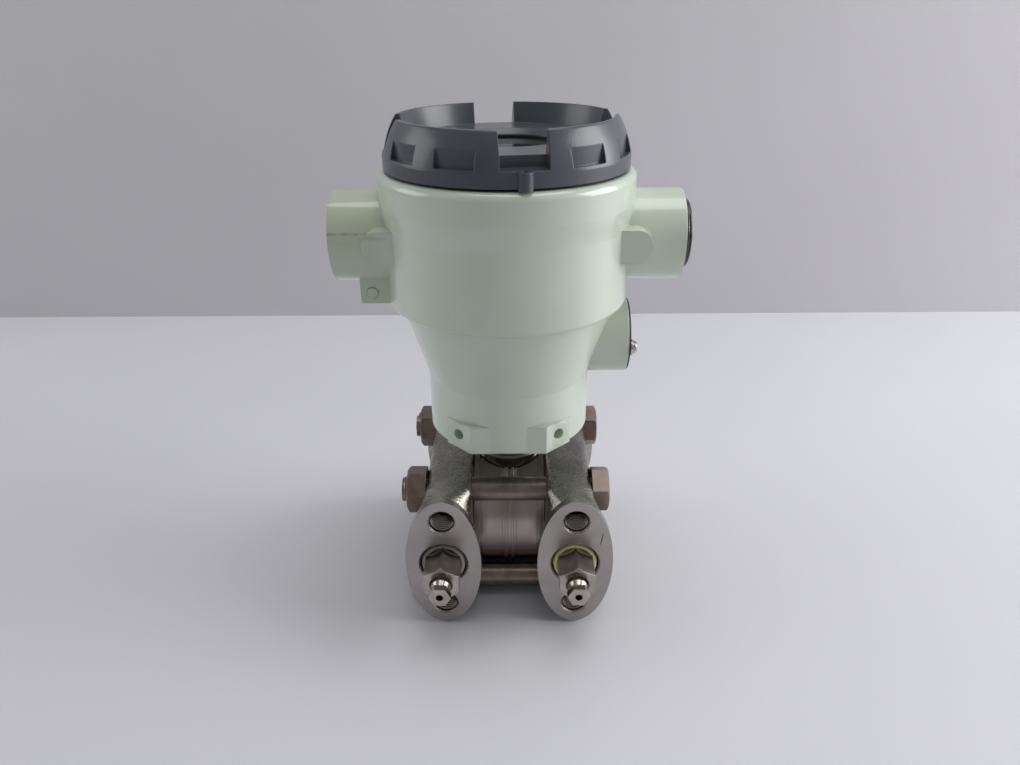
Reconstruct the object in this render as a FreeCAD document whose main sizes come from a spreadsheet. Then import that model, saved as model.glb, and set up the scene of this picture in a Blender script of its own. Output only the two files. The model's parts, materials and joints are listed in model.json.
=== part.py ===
import FreeCAD, Part
import os
import re

import Sketcher

# An industrial differential pressure transmitter.
# Two process flanges are bolted on either side of a round measuring capsule, and a neck on the
# capsule carries a cast housing with a screwed cover and a window. Millimetres, +Z up.
# The origin is on the bench, under the middle of the whole instrument.

V = FreeCAD.Vector
DOC = FreeCAD.newDocument("differential_pressure_transmitter")

# ---------------------------------------------------------------- driving dimensions

SIZES = {
    # process flanges
    "port_spacing": (54, "between the two process port axes"),
    "bolt_pitch": (41.3, "between the two tapped holes of a flange face"),
    "flange_depth": (96, "from front face to rear face of a flange"),
    "oval_wide": (31, "width of an oval flange face"),
    "oval_tall": (61, "height of an oval flange face"),
    "oval_edge": (3.6, "straight depth behind an oval face"),
    "head_depth": (11, "from the oval face to the full plate"),
    "plate_thick": (19, "thickness of a flange plate"),
    "plate_edge": (1.4, "flange plate past its bolt holes, above and below"),
    "plate_round": (3, "corner radius of the plate's section"),
    "tapped_radius": (4.95, "tapped hole in a front face"),
    "rear_tapped_radius": (5.15, "tapped hole in a rear face"),
    "tapped_deep": (13, "depth of a tapped hole"),
    "mouth_bevel": (0.7, "bevel at the mouth of each hole"),
    "cut_over": (5, "how far a cut runs past the surface it opens"),
    "hex_face": (0.97, "round face of a hexagon, as a share of its flats"),
    "hex_slope": (30, "degrees of the bevel on a hexagon's corners"),
    "recess_radius": (9.6, "round recess round a process port"),
    "recess_deep": (4, "depth of that recess"),
    "port_radius": (5.7, "bore of a process port"),
    "port_deep": (18, "depth of a process port from the face"),
    "passage_radius": (2.5, "drilled passage between the ports"),
    "chamber_deep": (1.2, "depth of the pressure chamber in a flange"),
    # measuring capsule
    "capsule_radius": (29, "outer radius of the capsule"),
    "capsule_long": (30.2, "length of the capsule"),
    "ring_half": (3, "half length of the centre weld ring"),
    "ring_wall": (5.2, "wall of the weld ring"),
    "ridge_high": (0.7, "height of the two weld ridges"),
    "ridge_wide": (1.1, "width of a weld ridge"),
    "groove_deep": (0.8, "groove near each end of the capsule"),
    "groove_wide": (1.0, "width of the step at each end of the capsule"),
    "groove_land": (1.4, "full diameter between the step and the groove"),
    "groove_slot": (0.8, "width of the groove"),
    "diaphragm_radius": (21, "radius of an isolating diaphragm"),
    "foil_thick": (0.3, "thickness of a diaphragm"),
    "flange_gap": (0.3, "gap between the capsule and a flange"),
    "gasket_inner": (23, "inner radius of a flange gasket"),
    "gasket_wide": (3, "width of a flange gasket"),
    "gasket_deep": (1.2, "depth of the gasket groove"),
    # flange bolts and nuts
    "bolt_spread_y": (54, "between bolts, front to rear"),
    "bolt_spread_z": (45.6, "between bolts, top to bottom"),
    "front_nut_turn": (-13, "degrees the upper front nut is turned"),
    "rear_nut_turn": (9, "degrees the upper rear nut is turned"),
    "bolt_radius": (5, "shank of a flange bolt"),
    "bolt_play": (0.3, "clearance round a shank"),
    "hex_across": (17, "across the flats of a bolt head or nut"),
    "head_high": (7, "height of a bolt head"),
    "nut_high": (8, "height of a nut"),
    "bolt_end": (2.2, "bolt end past its nut"),
    # vent plugs
    "vent_across": (14, "across the flats of a vent plug"),
    "vent_stand": (13, "vent plug past the flange face"),
    "vent_seal_thick": (2.2, "seal ring under a vent plug"),
    "vent_seal_wide": (2.9, "width of that ring"),
    "vent_thread_long": (12, "thread of a vent plug"),
    "needle_radius": (3.95, "shank of a vent needle"),
    "running_gap": (0.05, "radial clearance of a running fit"),
    "needle_tip_across": (7.7, "across the flats of a needle's tip"),
    "needle_tip_long": (3, "length of a needle's tip"),
    "needle_tip_turn": (-3, "degrees a needle's hexagon is turned"),
    "needle_show": (1.2, "full shank standing out of the vent plug"),
    "needle_waist": (2.9, "radius of the waist behind the tip"),
    "needle_point": (1.6, "slope at the inner end of a needle"),
    "needle_stand": (20, "needle past the flange face"),
    "bleed_radius": (1.45, "bleed hole of a needle"),
    "bleed_deep": (9, "depth of the bleed hole"),
    "seat_radius": (1.2, "passage behind the ball"),
    "ball_radius": (2.2, "closing ball of a vent"),
    "ball_play": (0.08, "clearance in front of and behind the ball"),
    # neck
    "collar_radius": (15, "welded collar on the capsule"),
    "collar_top": (62.3, "top of the collar above the bench"),
    "neck_radius": (12, "neck under the housing"),
    "journal_radius": (11, "neck inside the housing"),
    "shoulder_deep": (4, "neck's shoulder above the housing's underside"),
    "neck_bore": (8, "hole through the neck for its leads"),
    "weld_gap": (0.05, "gap at a welded or seated joint"),
    "neck_over": (3.4, "neck past the hub that turns on it"),
    "clip_thick": (1.2, "retaining ring on the neck"),
    "clip_groove": (1, "depth of the retaining ring's groove"),
    "clip_wide": (2.8, "retaining ring past the neck"),
    "neck_seal_radius": (1.1, "cord of the neck's O-ring"),
    # housing
    "base_low": (74.8, "underside of the housing"),
    "base_radius": (33.7, "round base of the housing"),
    "facet_half": (15.2, "half width of the base's front facet"),
    "facet_reach": (32.9, "front facet from the housing's axis"),
    "block_high": (12, "height of the front facet"),
    "set_screw_angle": (35, "set screw from straight ahead, degrees"),
    "set_boss_radius": (5.2, "round boss of a set screw"),
    "set_boss_reach": (35.1, "face of that boss from the axis"),
    "set_screw_radius": (2.3, "hole of a set screw"),
    "set_screw_sunk": (4, "set screw inside its boss's face"),
    "set_screw_high": (6.8, "set screw above the underside"),
    "block_turn": (3, "block's inner corner past the set screw, degrees"),
    "block_span": (12, "block's outer corner past the set screw, degrees"),
    "cone_low": (99.8, "where the base starts to widen, above the bench"),
    "body_radius": (47.6, "main cylinder of the housing"),
    "body_low": (131, "underside of the main cylinder above the bench"),
    "body_round": (1.8, "rounding under the main cylinder"),
    "step_wide": (4.2, "step from the taper out to the main cylinder"),
    "lip_radius": (49.1, "widest circle, under the cover"),
    "lip_low": (170.8, "start of that lip"),
    "lip_flare": (9, "height over which the lip widens"),
    "lip_curve": (27, "radius of the two curves under the lip"),
    "bore_ease": (1, "bore of full size below the cover's skirt"),
    "bore_slope": (2, "height of the slope below that bore"),
    "lip_round": (3.2, "rounding of the lip's top"),
    "lip_top": (182.3, "top of the housing above the bench"),
    "hub_high": (18, "height of the hub on the neck"),
    "wall": (6.2, "wall of the main cylinder"),
    "ledge_rise": (2.2, "ledge under the terminal block above the step"),
    "ledge_wide": (2.5, "width of that ledge"),
    "well_radius": (26, "well round the sensor electronics"),
    "well_high": (9, "height of the well's straight wall"),
    "conduit_radius": (17.5, "conduit boss"),
    "conduit_reach": (67.2, "conduit boss end from the axis"),
    "conduit_high": (156, "conduit axis above the bench"),
    "conduit_bore": (10.2, "radius of a conduit entry"),
    "lug_reach": (54, "end of a side lug from the axis"),
    "lug_tall": (12.4, "height of a side lug"),
    "lug_up": (0.9, "side lug above the conduit axis"),
    "lug_front": (23, "front face of a side lug"),
    "lug_thick": (17, "depth of a side lug"),
    "tab_reach": (58.4, "end of the lower tab"),
    "tab_low": (130.3, "underside of the lower tab"),
    "tab_tall": (11, "height of the lower tab"),
    "tab_front": (8, "front face of the lower tab"),
    "tab_thick": (12, "depth of the lower tab"),
    "tab_screw_in": (4.7, "tab screw from the tab's end"),
    "tab_screw_up": (4.4, "tab screw above the tab's underside"),
    "tab_screw_radius": (2.25, "head of the tab screw"),
    "tab_screw_deep": (3, "tab screw inside the tab"),
    "tab_screw_proud": (0.4, "tab screw in front of the tab"),
    "side_boss_radius": (15.4, "side boss"),
    "side_boss_proud": (0.9, "side boss past the main cylinder"),
    "side_boss_drop": (17.7, "side boss axis below the main cylinder"),
    "side_wall": (5.2, "wall of the side boss"),
    "side_plate_thick": (0.8, "plate on the side boss"),
    "side_plate_spigot": (3, "spigot of the side plate"),
    "side_plate_edge": (0.6, "plate edge inside the boss's edge"),
    "earth_drop": (0.6, "earth screw below the plate's centre"),
    "earth_radius": (2.6, "head of the earth screw"),
    "earth_high": (2.6, "height of its head and washer"),
    "earth_long": (7, "shank of the earth screw"),
    "washer_thick": (0.7, "washer of the earth screw"),
    "washer_wide": (0.8, "washer past the head of the earth screw"),
    "slot_half": (0.4, "half width of a screwdriver slot"),
    "slot_deep": (1.2, "depth of a screwdriver slot"),
    # cover
    "cover_gap": (0.9, "gap under the cover's rim"),
    "cover_radius": (46.5, "outside of the cover"),
    "cover_high": (17.8, "height of the cover's rim"),
    "cover_straight": (4.5, "straight part of the rim's outside"),
    "rim_radius": (41.6, "top edge of the rim"),
    "rim_wide": (1.7, "width of the rim's top"),
    "rim_curve": (34, "curve of the rim's outside"),
    "dish_radius": (38, "flat annulus inside the rim"),
    "dish_high": (9.7, "annulus above the cover's underside"),
    "window_radius": (20.5, "clear window"),
    "window_bevel": (2.3, "bevel round the window"),
    "slot_wide": (16.5, "width of a wrench slot"),
    "slot_spread": (15, "degrees of the dish a slot's inner end spans on each side"),
    "slot_high": (5.6, "slot floor above the cover's underside"),
    "slot_inner": (39.4, "inner end of a slot's floor"),
    "slot_angle": (8, "first slot from straight ahead, degrees"),
    "finger_wide": (14.5, "width of a finger pocket"),
    "finger_tall": (6.4, "height of a finger pocket"),
    "finger_depth": (2.1, "depth of a finger pocket"),
    "lock_boss_radius": (2.6, "boss of the cover lock"),
    "lock_boss_out": (0.2, "boss centre inside the cover's edge"),
    "lock_boss_drop": (0.5, "lock boss below the cover's underside"),
    "lock_screw_radius": (1.2, "cover lock screw"),
    "lock_screw_sunk": (1.2, "lock screw below its boss's top"),
    "skirt_radius": (42.2, "threaded skirt of the cover"),
    "skirt_wall": (3.5, "wall of the skirt"),
    "skirt_long": (11.5, "length of the skirt"),
    "thread_gap": (0.25, "play between cover and housing threads"),
    "seal_cord": (1.1, "cord radius of the cover's O-ring"),
    "seal_play": (0.1, "play round the cover's O-ring"),
    "glass_radius": (25, "window glass"),
    "glass_thick": (5.4, "thickness of the glass"),
    "glass_play": (0.2, "play round the glass"),
    "gasket_thick": (0.7, "gasket on the glass"),
    "retainer_wide": (3.1, "retaining ring past the glass"),
    "retainer_thick": (2.4, "thickness of the retaining ring"),
    "cover_web": (6.2, "thickness of the cover's annulus"),
    # inside the housing
    "sensor_radius": (17, "sensor electronics"),
    "sensor_tall": (15, "height of the sensor electronics"),
    "connector_half": (2.5, "half width of its connector"),
    "connector_tall": (3, "height of its connector"),
    "block_tall": (9, "height of the terminal block"),
    "block_play": (0.3, "play round the terminal block"),
    "terminal_spread": (11, "between terminals"),
    "terminal_row": (14, "row of terminals in front of the axis"),
    "terminal_well": (4, "depth of a terminal's well"),
    "terminal_well_half": (4.4, "half width of a terminal's well"),
    "terminal_radius": (2.8, "head of a terminal screw"),
    "terminal_high": (2.2, "head height of a terminal screw"),
    "post_radius": (2.5, "post under the circuit board"),
    "post_edge": (4, "post inside the circuit board's edge"),
    "post_tall": (21.6, "height of a post"),
    "board_play": (4.5, "play round the circuit board"),
    "board_thick": (1.6, "thickness of the circuit board"),
    "chip_wide": (12, "side of the large component on the board"),
    "small_chip": (6, "short side of the two other components"),
    "chip_gap": (2.5, "components from the middle of the board"),
    "chip_thick": (3.2, "thickness of the components"),
    "display_radius": (31, "display module"),
    "display_tall": (14, "height of the display module"),
    "screen_wide": (32, "width of the display's screen"),
    "screen_tall": (19, "height of the display's screen"),
    "screen_deep": (1.2, "depth of the screen's recess"),
    # conduit plug
    "plug_radius": (13.75, "head of the conduit plug"),
    "plug_stand": (3.5, "plug past the conduit boss"),
    "plug_crown": (8.5, "flat crown of the plug's head"),
    "plug_crown_curve": (5.5, "curve from the crown down to the step"),
    "plug_step": (12.1, "domed part of the plug's head"),
    "plug_step_high": (2, "height of the plug's flange"),
    "plug_seal_thick": (0.8, "ring under the plug's head"),
    "plug_seal_radius": (12.9, "outer radius of that ring"),
    "plug_thread_long": (12, "thread of the plug"),
    "plug_socket_across": (10, "hexagon socket of the plug"),
    "plug_socket_deep": (7, "depth of that socket"),
}

# lengths worked out from the driving dimensions
DERIVED = {
    "port_high": "bolt_spread_z / 2 + hex_across / 2",
    "plate_tall": "bolt_spread_z + 2 * (bolt_radius + bolt_play + plate_edge)",
    "face": "flange_depth / 2",
    "plate_inner": "capsule_long / 2 + flange_gap",
    "plate_outer": "plate_inner + plate_thick",
    "vent_reach": "face + needle_stand",
    "plug_reach": "conduit_reach + plug_stand",
    "axis_x": "(conduit_reach - plug_reach) / 2",
    "axis_y": "(vent_reach - max(lip_radius; face)) / 2",
    "cavity_radius": "body_radius - wall",
    "ledge_high": "body_low + ledge_rise",
    "side_boss_reach": "body_radius + side_boss_proud",
    "side_boss_high": "body_low - side_boss_drop",
    "side_bore": "side_boss_radius - side_wall",
    "earth_forward": "side_boss_radius - side_wall / 2",
    "board_radius": "cavity_radius - board_play",
    "post_circle": "board_radius - post_edge",
    "hub_top": "base_low + hub_high",
    "neck_top": "hub_top + neck_over",
    "neck_seal_high": "(base_low + shoulder_deep + hub_top) / 2 + neck_seal_radius",
    "clip_low": "hub_top + flange_gap",
    "cover_low": "lip_top + cover_gap",
    "cover_top": "cover_low + cover_high",
    "dish_floor": "cover_low + dish_high",
    "slot_floor": "cover_low + slot_high",
    "skirt_low": "cover_low - skirt_long",
    "glass_seat": "dish_floor - window_bevel",
    "glass_top": "glass_seat - gasket_thick",
    "glass_low": "glass_top - glass_thick",
    "retainer_low": "glass_low - retainer_thick",
    "web_low": "dish_floor - cover_web",
    "seal_circle": "skirt_radius + seal_play + seal_cord",
    "seal_high": "cover_low - seal_play - seal_cord",
    "block_top": "ledge_high + block_tall",
    "board_low": "block_top + post_tall",
    "board_top": "board_low + board_thick",
    "display_top": "board_top + display_tall",
    "needle_bore": "needle_radius + running_gap",
    "bore_end": "recess_deep + vent_thread_long / 4",
    "seat_apex": "bore_end + needle_bore",
    "ball_place": "seat_apex - (ball_radius + ball_play) * sqrt(2)",
    "needle_rear": "ball_place - ball_radius - ball_play",
}

sheet = DOC.addObject("Spreadsheet::Sheet", "Sizes")
for row, (alias, (number, note)) in enumerate(SIZES.items(), start=1):
    sheet.set(f"A{row}", note)
    sheet.set(f"B{row}", str(number))
    sheet.setAlias(f"B{row}", alias)
DOC.recompute()

# ---------------------------------------------------------------- helpers


def formula(text):
    """Write a length's working with the sheet's name before each size."""

    def swap(match):
        word = match.group()
        if word in DERIVED:
            return f"({formula(DERIVED[word])})"
        if word in SIZES:
            return f"Sizes.{word}"
        return word

    return re.sub(r"[a-z_]+", swap, str(text))


def value(text):
    return float(sheet.evalExpression(formula(text)))


def bind(target, name, text):
    target.setExpression(name, formula(text))


def new_body(label, x="0", y="0", z="0", turn_axis=V(0, 0, 1), turn="0"):
    """A body whose own origin stands at x, y from the housing's axis and z above the bench."""
    body = DOC.addObject("PartDesign::Body", label)
    body.Label = label
    body.Placement = FreeCAD.Placement(V(), FreeCAD.Rotation(turn_axis, value(turn)))
    bind(body, "Placement.Base.x", f"axis_x + {x}")
    bind(body, "Placement.Base.y", f"axis_y + {y}")
    bind(body, "Placement.Base.z", z)
    if turn != "0":
        bind(body, "Placement.Rotation.Angle", turn)
    return body


def new_sketch(body, name, role, offset="0", turn=None):
    """A sketch on one of the body's origin planes, moved along its normal, or turned about Z."""
    sketch = body.newObject("Sketcher::SketchObject", name)
    plane = next(item for item in body.Origin.OriginFeatures if item.Role == role)
    sketch.AttachmentSupport = [(plane, "")]
    sketch.MapMode = "FlatFace"
    if turn is None:
        bind(sketch, "AttachmentOffset.Base.z", offset)
        return sketch
    rotation = FreeCAD.Rotation(V(0, 1, 0), value(turn))
    sketch.AttachmentOffset = FreeCAD.Placement(V(), rotation)
    bind(sketch, "AttachmentOffset.Rotation.Angle", turn)
    bind(sketch, "AttachmentOffset.Base.x", f"({offset}) * sin({turn})")
    bind(sketch, "AttachmentOffset.Base.z", f"({offset}) * cos({turn})")
    return sketch


def fix_point(sketch, geometry, end, x, y):
    """Hold one point of the sketch at x, y from its origin."""
    for kind, text in (("DistanceX", x), ("DistanceY", y)):
        constraint = Sketcher.Constraint(kind, -1, 1, geometry, end, value(text))
        index = sketch.addConstraint(constraint)
        bind(sketch, f"Constraints[{index}]", text)


def fix_radius(sketch, geometry, text):
    index = sketch.addConstraint(Sketcher.Constraint("Radius", geometry, value(text)))
    bind(sketch, f"Constraints[{index}]", text)


def draw_circle(sketch, x, y, radius):
    circle = Part.Circle(V(value(x), value(y), 0), V(0, 0, 1), value(radius))
    geometry = sketch.addGeometry(circle, False)
    fix_radius(sketch, geometry, radius)
    fix_point(sketch, geometry, 3, x, y)


def draw_oval(sketch, x, y, wide, tall):
    """An upright ellipse, held by its centre and its two axes."""
    centre = V(value(x), value(y), 0)
    half_wide, half_tall = value(wide) / 2, value(tall) / 2
    oval = Part.Ellipse(centre + V(0, half_tall, 0), centre + V(half_wide, 0, 0), centre)
    geometry = sketch.addGeometry(oval, False)
    sketch.exposeInternalGeometry(geometry)
    sketch.addConstraint(Sketcher.Constraint("Vertical", geometry + 1))
    for axis, text in ((geometry + 1, tall), (geometry + 2, wide)):
        index = sketch.addConstraint(Sketcher.Constraint("Distance", axis, value(text)))
        bind(sketch, f"Constraints[{index}]", text)
    fix_point(sketch, geometry, 3, x, y)


def arc_between(first, last, radius, side):
    """The short arc between two points, its centre on the left (1) or the right (-1)."""
    middle = (first + last) * 0.5
    way = (last - first).normalize()
    left = V(-way.y, way.x, 0)
    rise = max(radius**2 - ((last - first).Length / 2) ** 2, 0) ** 0.5
    centre = middle + left * (side * rise)
    return Part.Arc(first, centre - left * (side * radius), last)


def draw_outline(sketch, corners):
    """A closed outline. A corner is (x, y), or (x, y, radius, side) where an arc leads on."""
    points = [V(value(corner[0]), value(corner[1]), 0) for corner in corners]
    edges = []
    for index, corner in enumerate(corners):
        first, last = points[index], points[(index + 1) % len(points)]
        if len(corner) == 2:
            geometry = sketch.addGeometry(Part.LineSegment(first, last), False)
            edges.append((geometry, 1, 2))
            continue
        arc = arc_between(first, last, value(corner[2]), corner[3])
        geometry = sketch.addGeometry(arc, False)
        fix_radius(sketch, geometry, corner[2])
        forwards = sketch.getPoint(geometry, 1).distanceToPoint(first) < 1e-6
        edges.append((geometry, 1, 2) if forwards else (geometry, 2, 1))
    for index, corner in enumerate(corners):
        before, _, end = edges[index - 1]
        geometry, start, _ = edges[index]
        sketch.addConstraint(Sketcher.Constraint("Coincident", before, end, geometry, start))
        fix_point(sketch, geometry, start, corner[0], corner[1])


def draw_rectangle(sketch, left, right, low, high):
    draw_outline(sketch, [(left, low), (right, low), (right, high), (left, high)])


def draw_hexagon(sketch, x, y, across, turn="0"):
    corners = []
    for step in range(6):
        angle = f"({turn} + {60 * step})"
        corners.append((f"{x} + {across} / sqrt(3) * cos({angle})",
                        f"{y} + {across} / sqrt(3) * sin({angle})"))
    draw_outline(sketch, corners)


def draw_rounded(sketch, left, right, low, high, radius):
    """A rectangle with four rounded corners."""
    draw_outline(sketch, [
        (f"{left} + {radius}", low), (f"{right} - {radius}", low, radius, 1),
        (right, f"{low} + {radius}"), (right, f"{high} - {radius}", radius, 1),
        (f"{right} - {radius}", high), (f"{left} + {radius}", high, radius, 1),
        (left, f"{high} - {radius}"), (left, f"{low} + {radius}", radius, 1),
    ])


def pad(body, sketch, length, symmetric=False, backwards=False):
    feature = body.newObject("PartDesign::Pad", sketch.Name + "_pad")
    feature.Profile = sketch
    feature.Reversed = backwards
    feature.SideType = "Symmetric" if symmetric else "One side"
    bind(feature, "Length", length)
    return feature


def check_cut(body, feature, before):
    """A cut that points away from the solid removes nothing and says nothing."""
    DOC.recompute()
    if not body.Shape.Volume < before - 1e-3:
        raise ValueError(f"{feature.Name} cuts nothing")
    return feature


def pocket(body, sketch, length, symmetric=False, backwards=False):
    DOC.recompute()
    before = body.Shape.Volume
    feature = body.newObject("PartDesign::Pocket", sketch.Name + "_pocket")
    feature.Profile = sketch
    feature.Reversed = backwards
    feature.SideType = "Symmetric" if symmetric else "One side"
    bind(feature, "Length", length)
    return check_cut(body, feature, before)


def turn_profile(body, sketch, axis):
    feature = body.newObject("PartDesign::Revolution", sketch.Name + "_turn")
    feature.Profile = sketch
    feature.ReferenceAxis = (sketch, [axis])
    return feature


def turn_away(body, sketch, axis):
    DOC.recompute()
    before = body.Shape.Volume
    feature = body.newObject("PartDesign::Groove", sketch.Name + "_groove")
    feature.Profile = sketch
    feature.ReferenceAxis = (sketch, [axis])
    return check_cut(body, feature, before)


def mirror(body, features, role, name):
    feature = body.newObject("PartDesign::Mirrored", name)
    feature.Originals = features
    plane = next(item for item in body.Origin.OriginFeatures if item.Role == role)
    feature.MirrorPlane = (plane, [""])
    body.Tip = feature
    return feature


def polar(body, features, count, name):
    """Copies of features round the body's Z axis."""
    feature = body.newObject("PartDesign::PolarPattern", name)
    feature.Originals = features
    axis = next(item for item in body.Origin.OriginFeatures if item.Role == "Z_Axis")
    feature.Axis = (axis, [""])
    feature.Angle = 360
    feature.Occurrences = count
    body.Tip = feature
    return feature


def bevel(body, size, wanted, name):
    """Bevel the circular edges for which wanted(centre, radius) is true."""
    DOC.recompute()
    edges = []
    for index, edge in enumerate(body.Tip.Shape.Edges, start=1):
        if edge.Curve.TypeId == "Part::GeomCircle" and wanted(edge.Curve.Center, edge.Curve.Radius):
            edges.append(f"Edge{index}")
    if not edges:
        raise ValueError(f"{name} finds no edge")
    base = body.Tip
    feature = body.newObject("PartDesign::Chamfer", name)
    feature.Base = (base, edges)
    bind(feature, "Size", size)
    return feature


def turned_part(label, corners, axis="V_Axis", **place):
    """A part turned from one outline drawn beside its axis."""
    body = new_body(label, **place)
    plane = "YZ_Plane" if axis == "Y" else "XZ_Plane"
    sketch = new_sketch(body, label + "_outline", plane)
    draw_outline(sketch, corners)
    turn_profile(body, sketch, "H_Axis" if axis == "Y" else axis)
    return body


def group(label, members):
    """Loose identical parts that share one node."""
    compound = DOC.addObject("Part::Compound", label)
    compound.Label = label
    compound.Links = members
    return compound


# ---------------------------------------------------------------- process flanges


def process_flange(label, turn, near_tap, far_tap):
    """A cast flange: a plate that swells at both ends into an oval face with a tapped port."""
    body = new_body(label, z="port_high", turn=turn)
    port_x = "port_spacing / 2"

    plate = new_sketch(body, label + "_plate", "XZ_Plane")
    draw_rounded(plate, "plate_inner", "plate_outer", "-plate_tall / 2", "plate_tall / 2", "plate_round")
    pad(body, plate, "flange_depth - 2 * head_depth", symmetric=True)

    oval = new_sketch(body, label + "_oval", "XZ_Plane", "face - oval_edge")
    draw_oval(oval, port_x, "0", "oval_wide", "oval_tall")
    head_pad = pad(body, oval, "oval_edge")

    neck_oval = new_sketch(body, label + "_swell_oval", "XZ_Plane", "face - oval_edge")
    draw_oval(neck_oval, port_x, "0", "oval_wide", "oval_tall")
    neck_plate = new_sketch(body, label + "_swell_plate", "XZ_Plane", "face - head_depth")
    draw_rounded(neck_plate, "plate_inner", "plate_outer", "-plate_tall / 2", "plate_tall / 2",
                 "plate_round")
    swell = body.newObject("PartDesign::AdditiveLoft", label + "_swell")
    swell.Profile = neck_oval
    swell.Sections = [neck_plate]
    mirror(body, [head_pad, swell], "XZ_Plane", label + "_rear_head")

    recess = new_sketch(body, label + "_recess", "XZ_Plane", "face")
    draw_circle(recess, port_x, "0", "recess_radius")
    port = new_sketch(body, label + "_port", "XZ_Plane", "face")
    draw_circle(port, port_x, "0", "port_radius")
    tapped = new_sketch(body, label + "_tapped", "XZ_Plane", "face")
    for height in ("-bolt_pitch / 2", "bolt_pitch / 2"):
        draw_circle(tapped, port_x, height, near_tap)
    pocket(body, tapped, "tapped_deep")
    front_port = [pocket(body, recess, "recess_deep"), pocket(body, port, "port_deep")]
    mirror(body, front_port, "XZ_Plane", label + "_rear_port")
    far_tapped = new_sketch(body, label + "_far_tapped", "XZ_Plane", "-face")
    for height in ("-bolt_pitch / 2", "bolt_pitch / 2"):
        draw_circle(far_tapped, port_x, height, far_tap)
    pocket(body, far_tapped, "tapped_deep", backwards=True)

    passage = new_sketch(body, label + "_passage", "XZ_Plane")
    draw_circle(passage, port_x, "0", "passage_radius")
    pocket(body, passage, "flange_depth - 2 * port_deep + passage_radius", symmetric=True)

    chamber = new_sketch(body, label + "_chamber", "YZ_Plane", "plate_inner")
    draw_circle(chamber, "0", "0", "diaphragm_radius")
    pocket(body, chamber, "chamber_deep", backwards=True)
    inlet = new_sketch(body, label + "_inlet", "YZ_Plane", "plate_inner")
    draw_circle(inlet, "0", "0", "passage_radius")
    pocket(body, inlet, f"{port_x} - plate_inner", backwards=True)

    bolt_holes = new_sketch(body, label + "_bolt_holes", "YZ_Plane", "plate_inner")
    for side_y in ("-", ""):
        for side_z in ("-", ""):
            draw_circle(bolt_holes, f"{side_y}bolt_spread_y / 2", f"{side_z}bolt_spread_z / 2",
                        "bolt_radius + bolt_play")
    pocket(body, bolt_holes, "plate_thick", backwards=True)

    face = value("face")
    mouths = [value(size) for size in ("tapped_radius", "rear_tapped_radius", "recess_radius")]

    def hole_mouth(centre, radius):
        at_face = abs(abs(centre.y) - face) < 1e-3
        return at_face and any(abs(radius - mouth) < 1e-3 for mouth in mouths)

    bevel(body, "mouth_bevel", hole_mouth, label + "_mouths")
    return body


# ---------------------------------------------------------------- flange bolts and nuts


def hexagon_part(label, y, z, across, low, high, turn, bevel_low, bevel_high):
    """A hexagon along X with its corners bevelled at 30 degrees on the ends that show."""
    body = new_body(label, y=y, z=z)
    sketch = new_sketch(body, label + "_hexagon", "YZ_Plane", low)
    draw_hexagon(sketch, "0", "0", across, turn)
    pad(body, sketch, f"{high} - ({low})")
    ends = []
    corner = f"{across} / sqrt(3)"
    flat = f"{across} / 2 * hex_face"
    drop = f"({corner} - {flat}) * tan(hex_slope)"
    if bevel_high:
        ends.append((high, f"{high} - {drop}"))
    if bevel_low:
        ends.append((low, f"{low} + {drop}"))
    for number, (end, inside) in enumerate(ends):
        ring = new_sketch(body, f"{label}_bevel{number}", "XZ_Plane")
        draw_outline(ring, [
            (end, flat), (end, f"{corner} + cut_over"), (inside, f"{corner} + cut_over"),
            (inside, corner),
        ])
        turn_away(body, ring, "H_Axis")
    return body


def add_rod(body, name, radius, low, high):
    sketch = new_sketch(body, name, "YZ_Plane", low)
    draw_circle(sketch, "0", "0", radius)
    pad(body, sketch, f"{high} - ({low})")


# the whole instrument stands on the flats of its four lower heads and nuts
BOLT_PLACES = []
for side_y, turn in (("-", "front_nut_turn"), ("", "rear_nut_turn")):
    BOLT_PLACES.append((f"({side_y}bolt_spread_y / 2)", "port_high - bolt_spread_z / 2", "0"))
    BOLT_PLACES.append((f"({side_y}bolt_spread_y / 2)", "port_high + bolt_spread_z / 2", turn))


def flange_bolt(number, y, z, turn):
    """A bolt across both flanges: head on the right, end standing past its nut on the left."""
    body = hexagon_part(f"flange_bolt_{number}", y, z, "hex_across", "plate_outer",
                        "plate_outer + head_high", f"2 * {turn}", False, True)
    add_rod(body, f"flange_bolt_{number}_shank", "bolt_radius",
            "-plate_outer - nut_high - bolt_end", "plate_outer")
    return body


def flange_nut(number, y, z, turn):
    body = hexagon_part(f"flange_nut_{number}", y, z, "hex_across", "-plate_outer - nut_high",
                        "-plate_outer", turn, True, False)
    hole = new_sketch(body, f"flange_nut_{number}_hole", "YZ_Plane", "-plate_outer")
    draw_circle(hole, "0", "0", "bolt_radius + running_gap")
    pocket(body, hole, "nut_high")
    return body


# ---------------------------------------------------------------- measuring capsule


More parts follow.
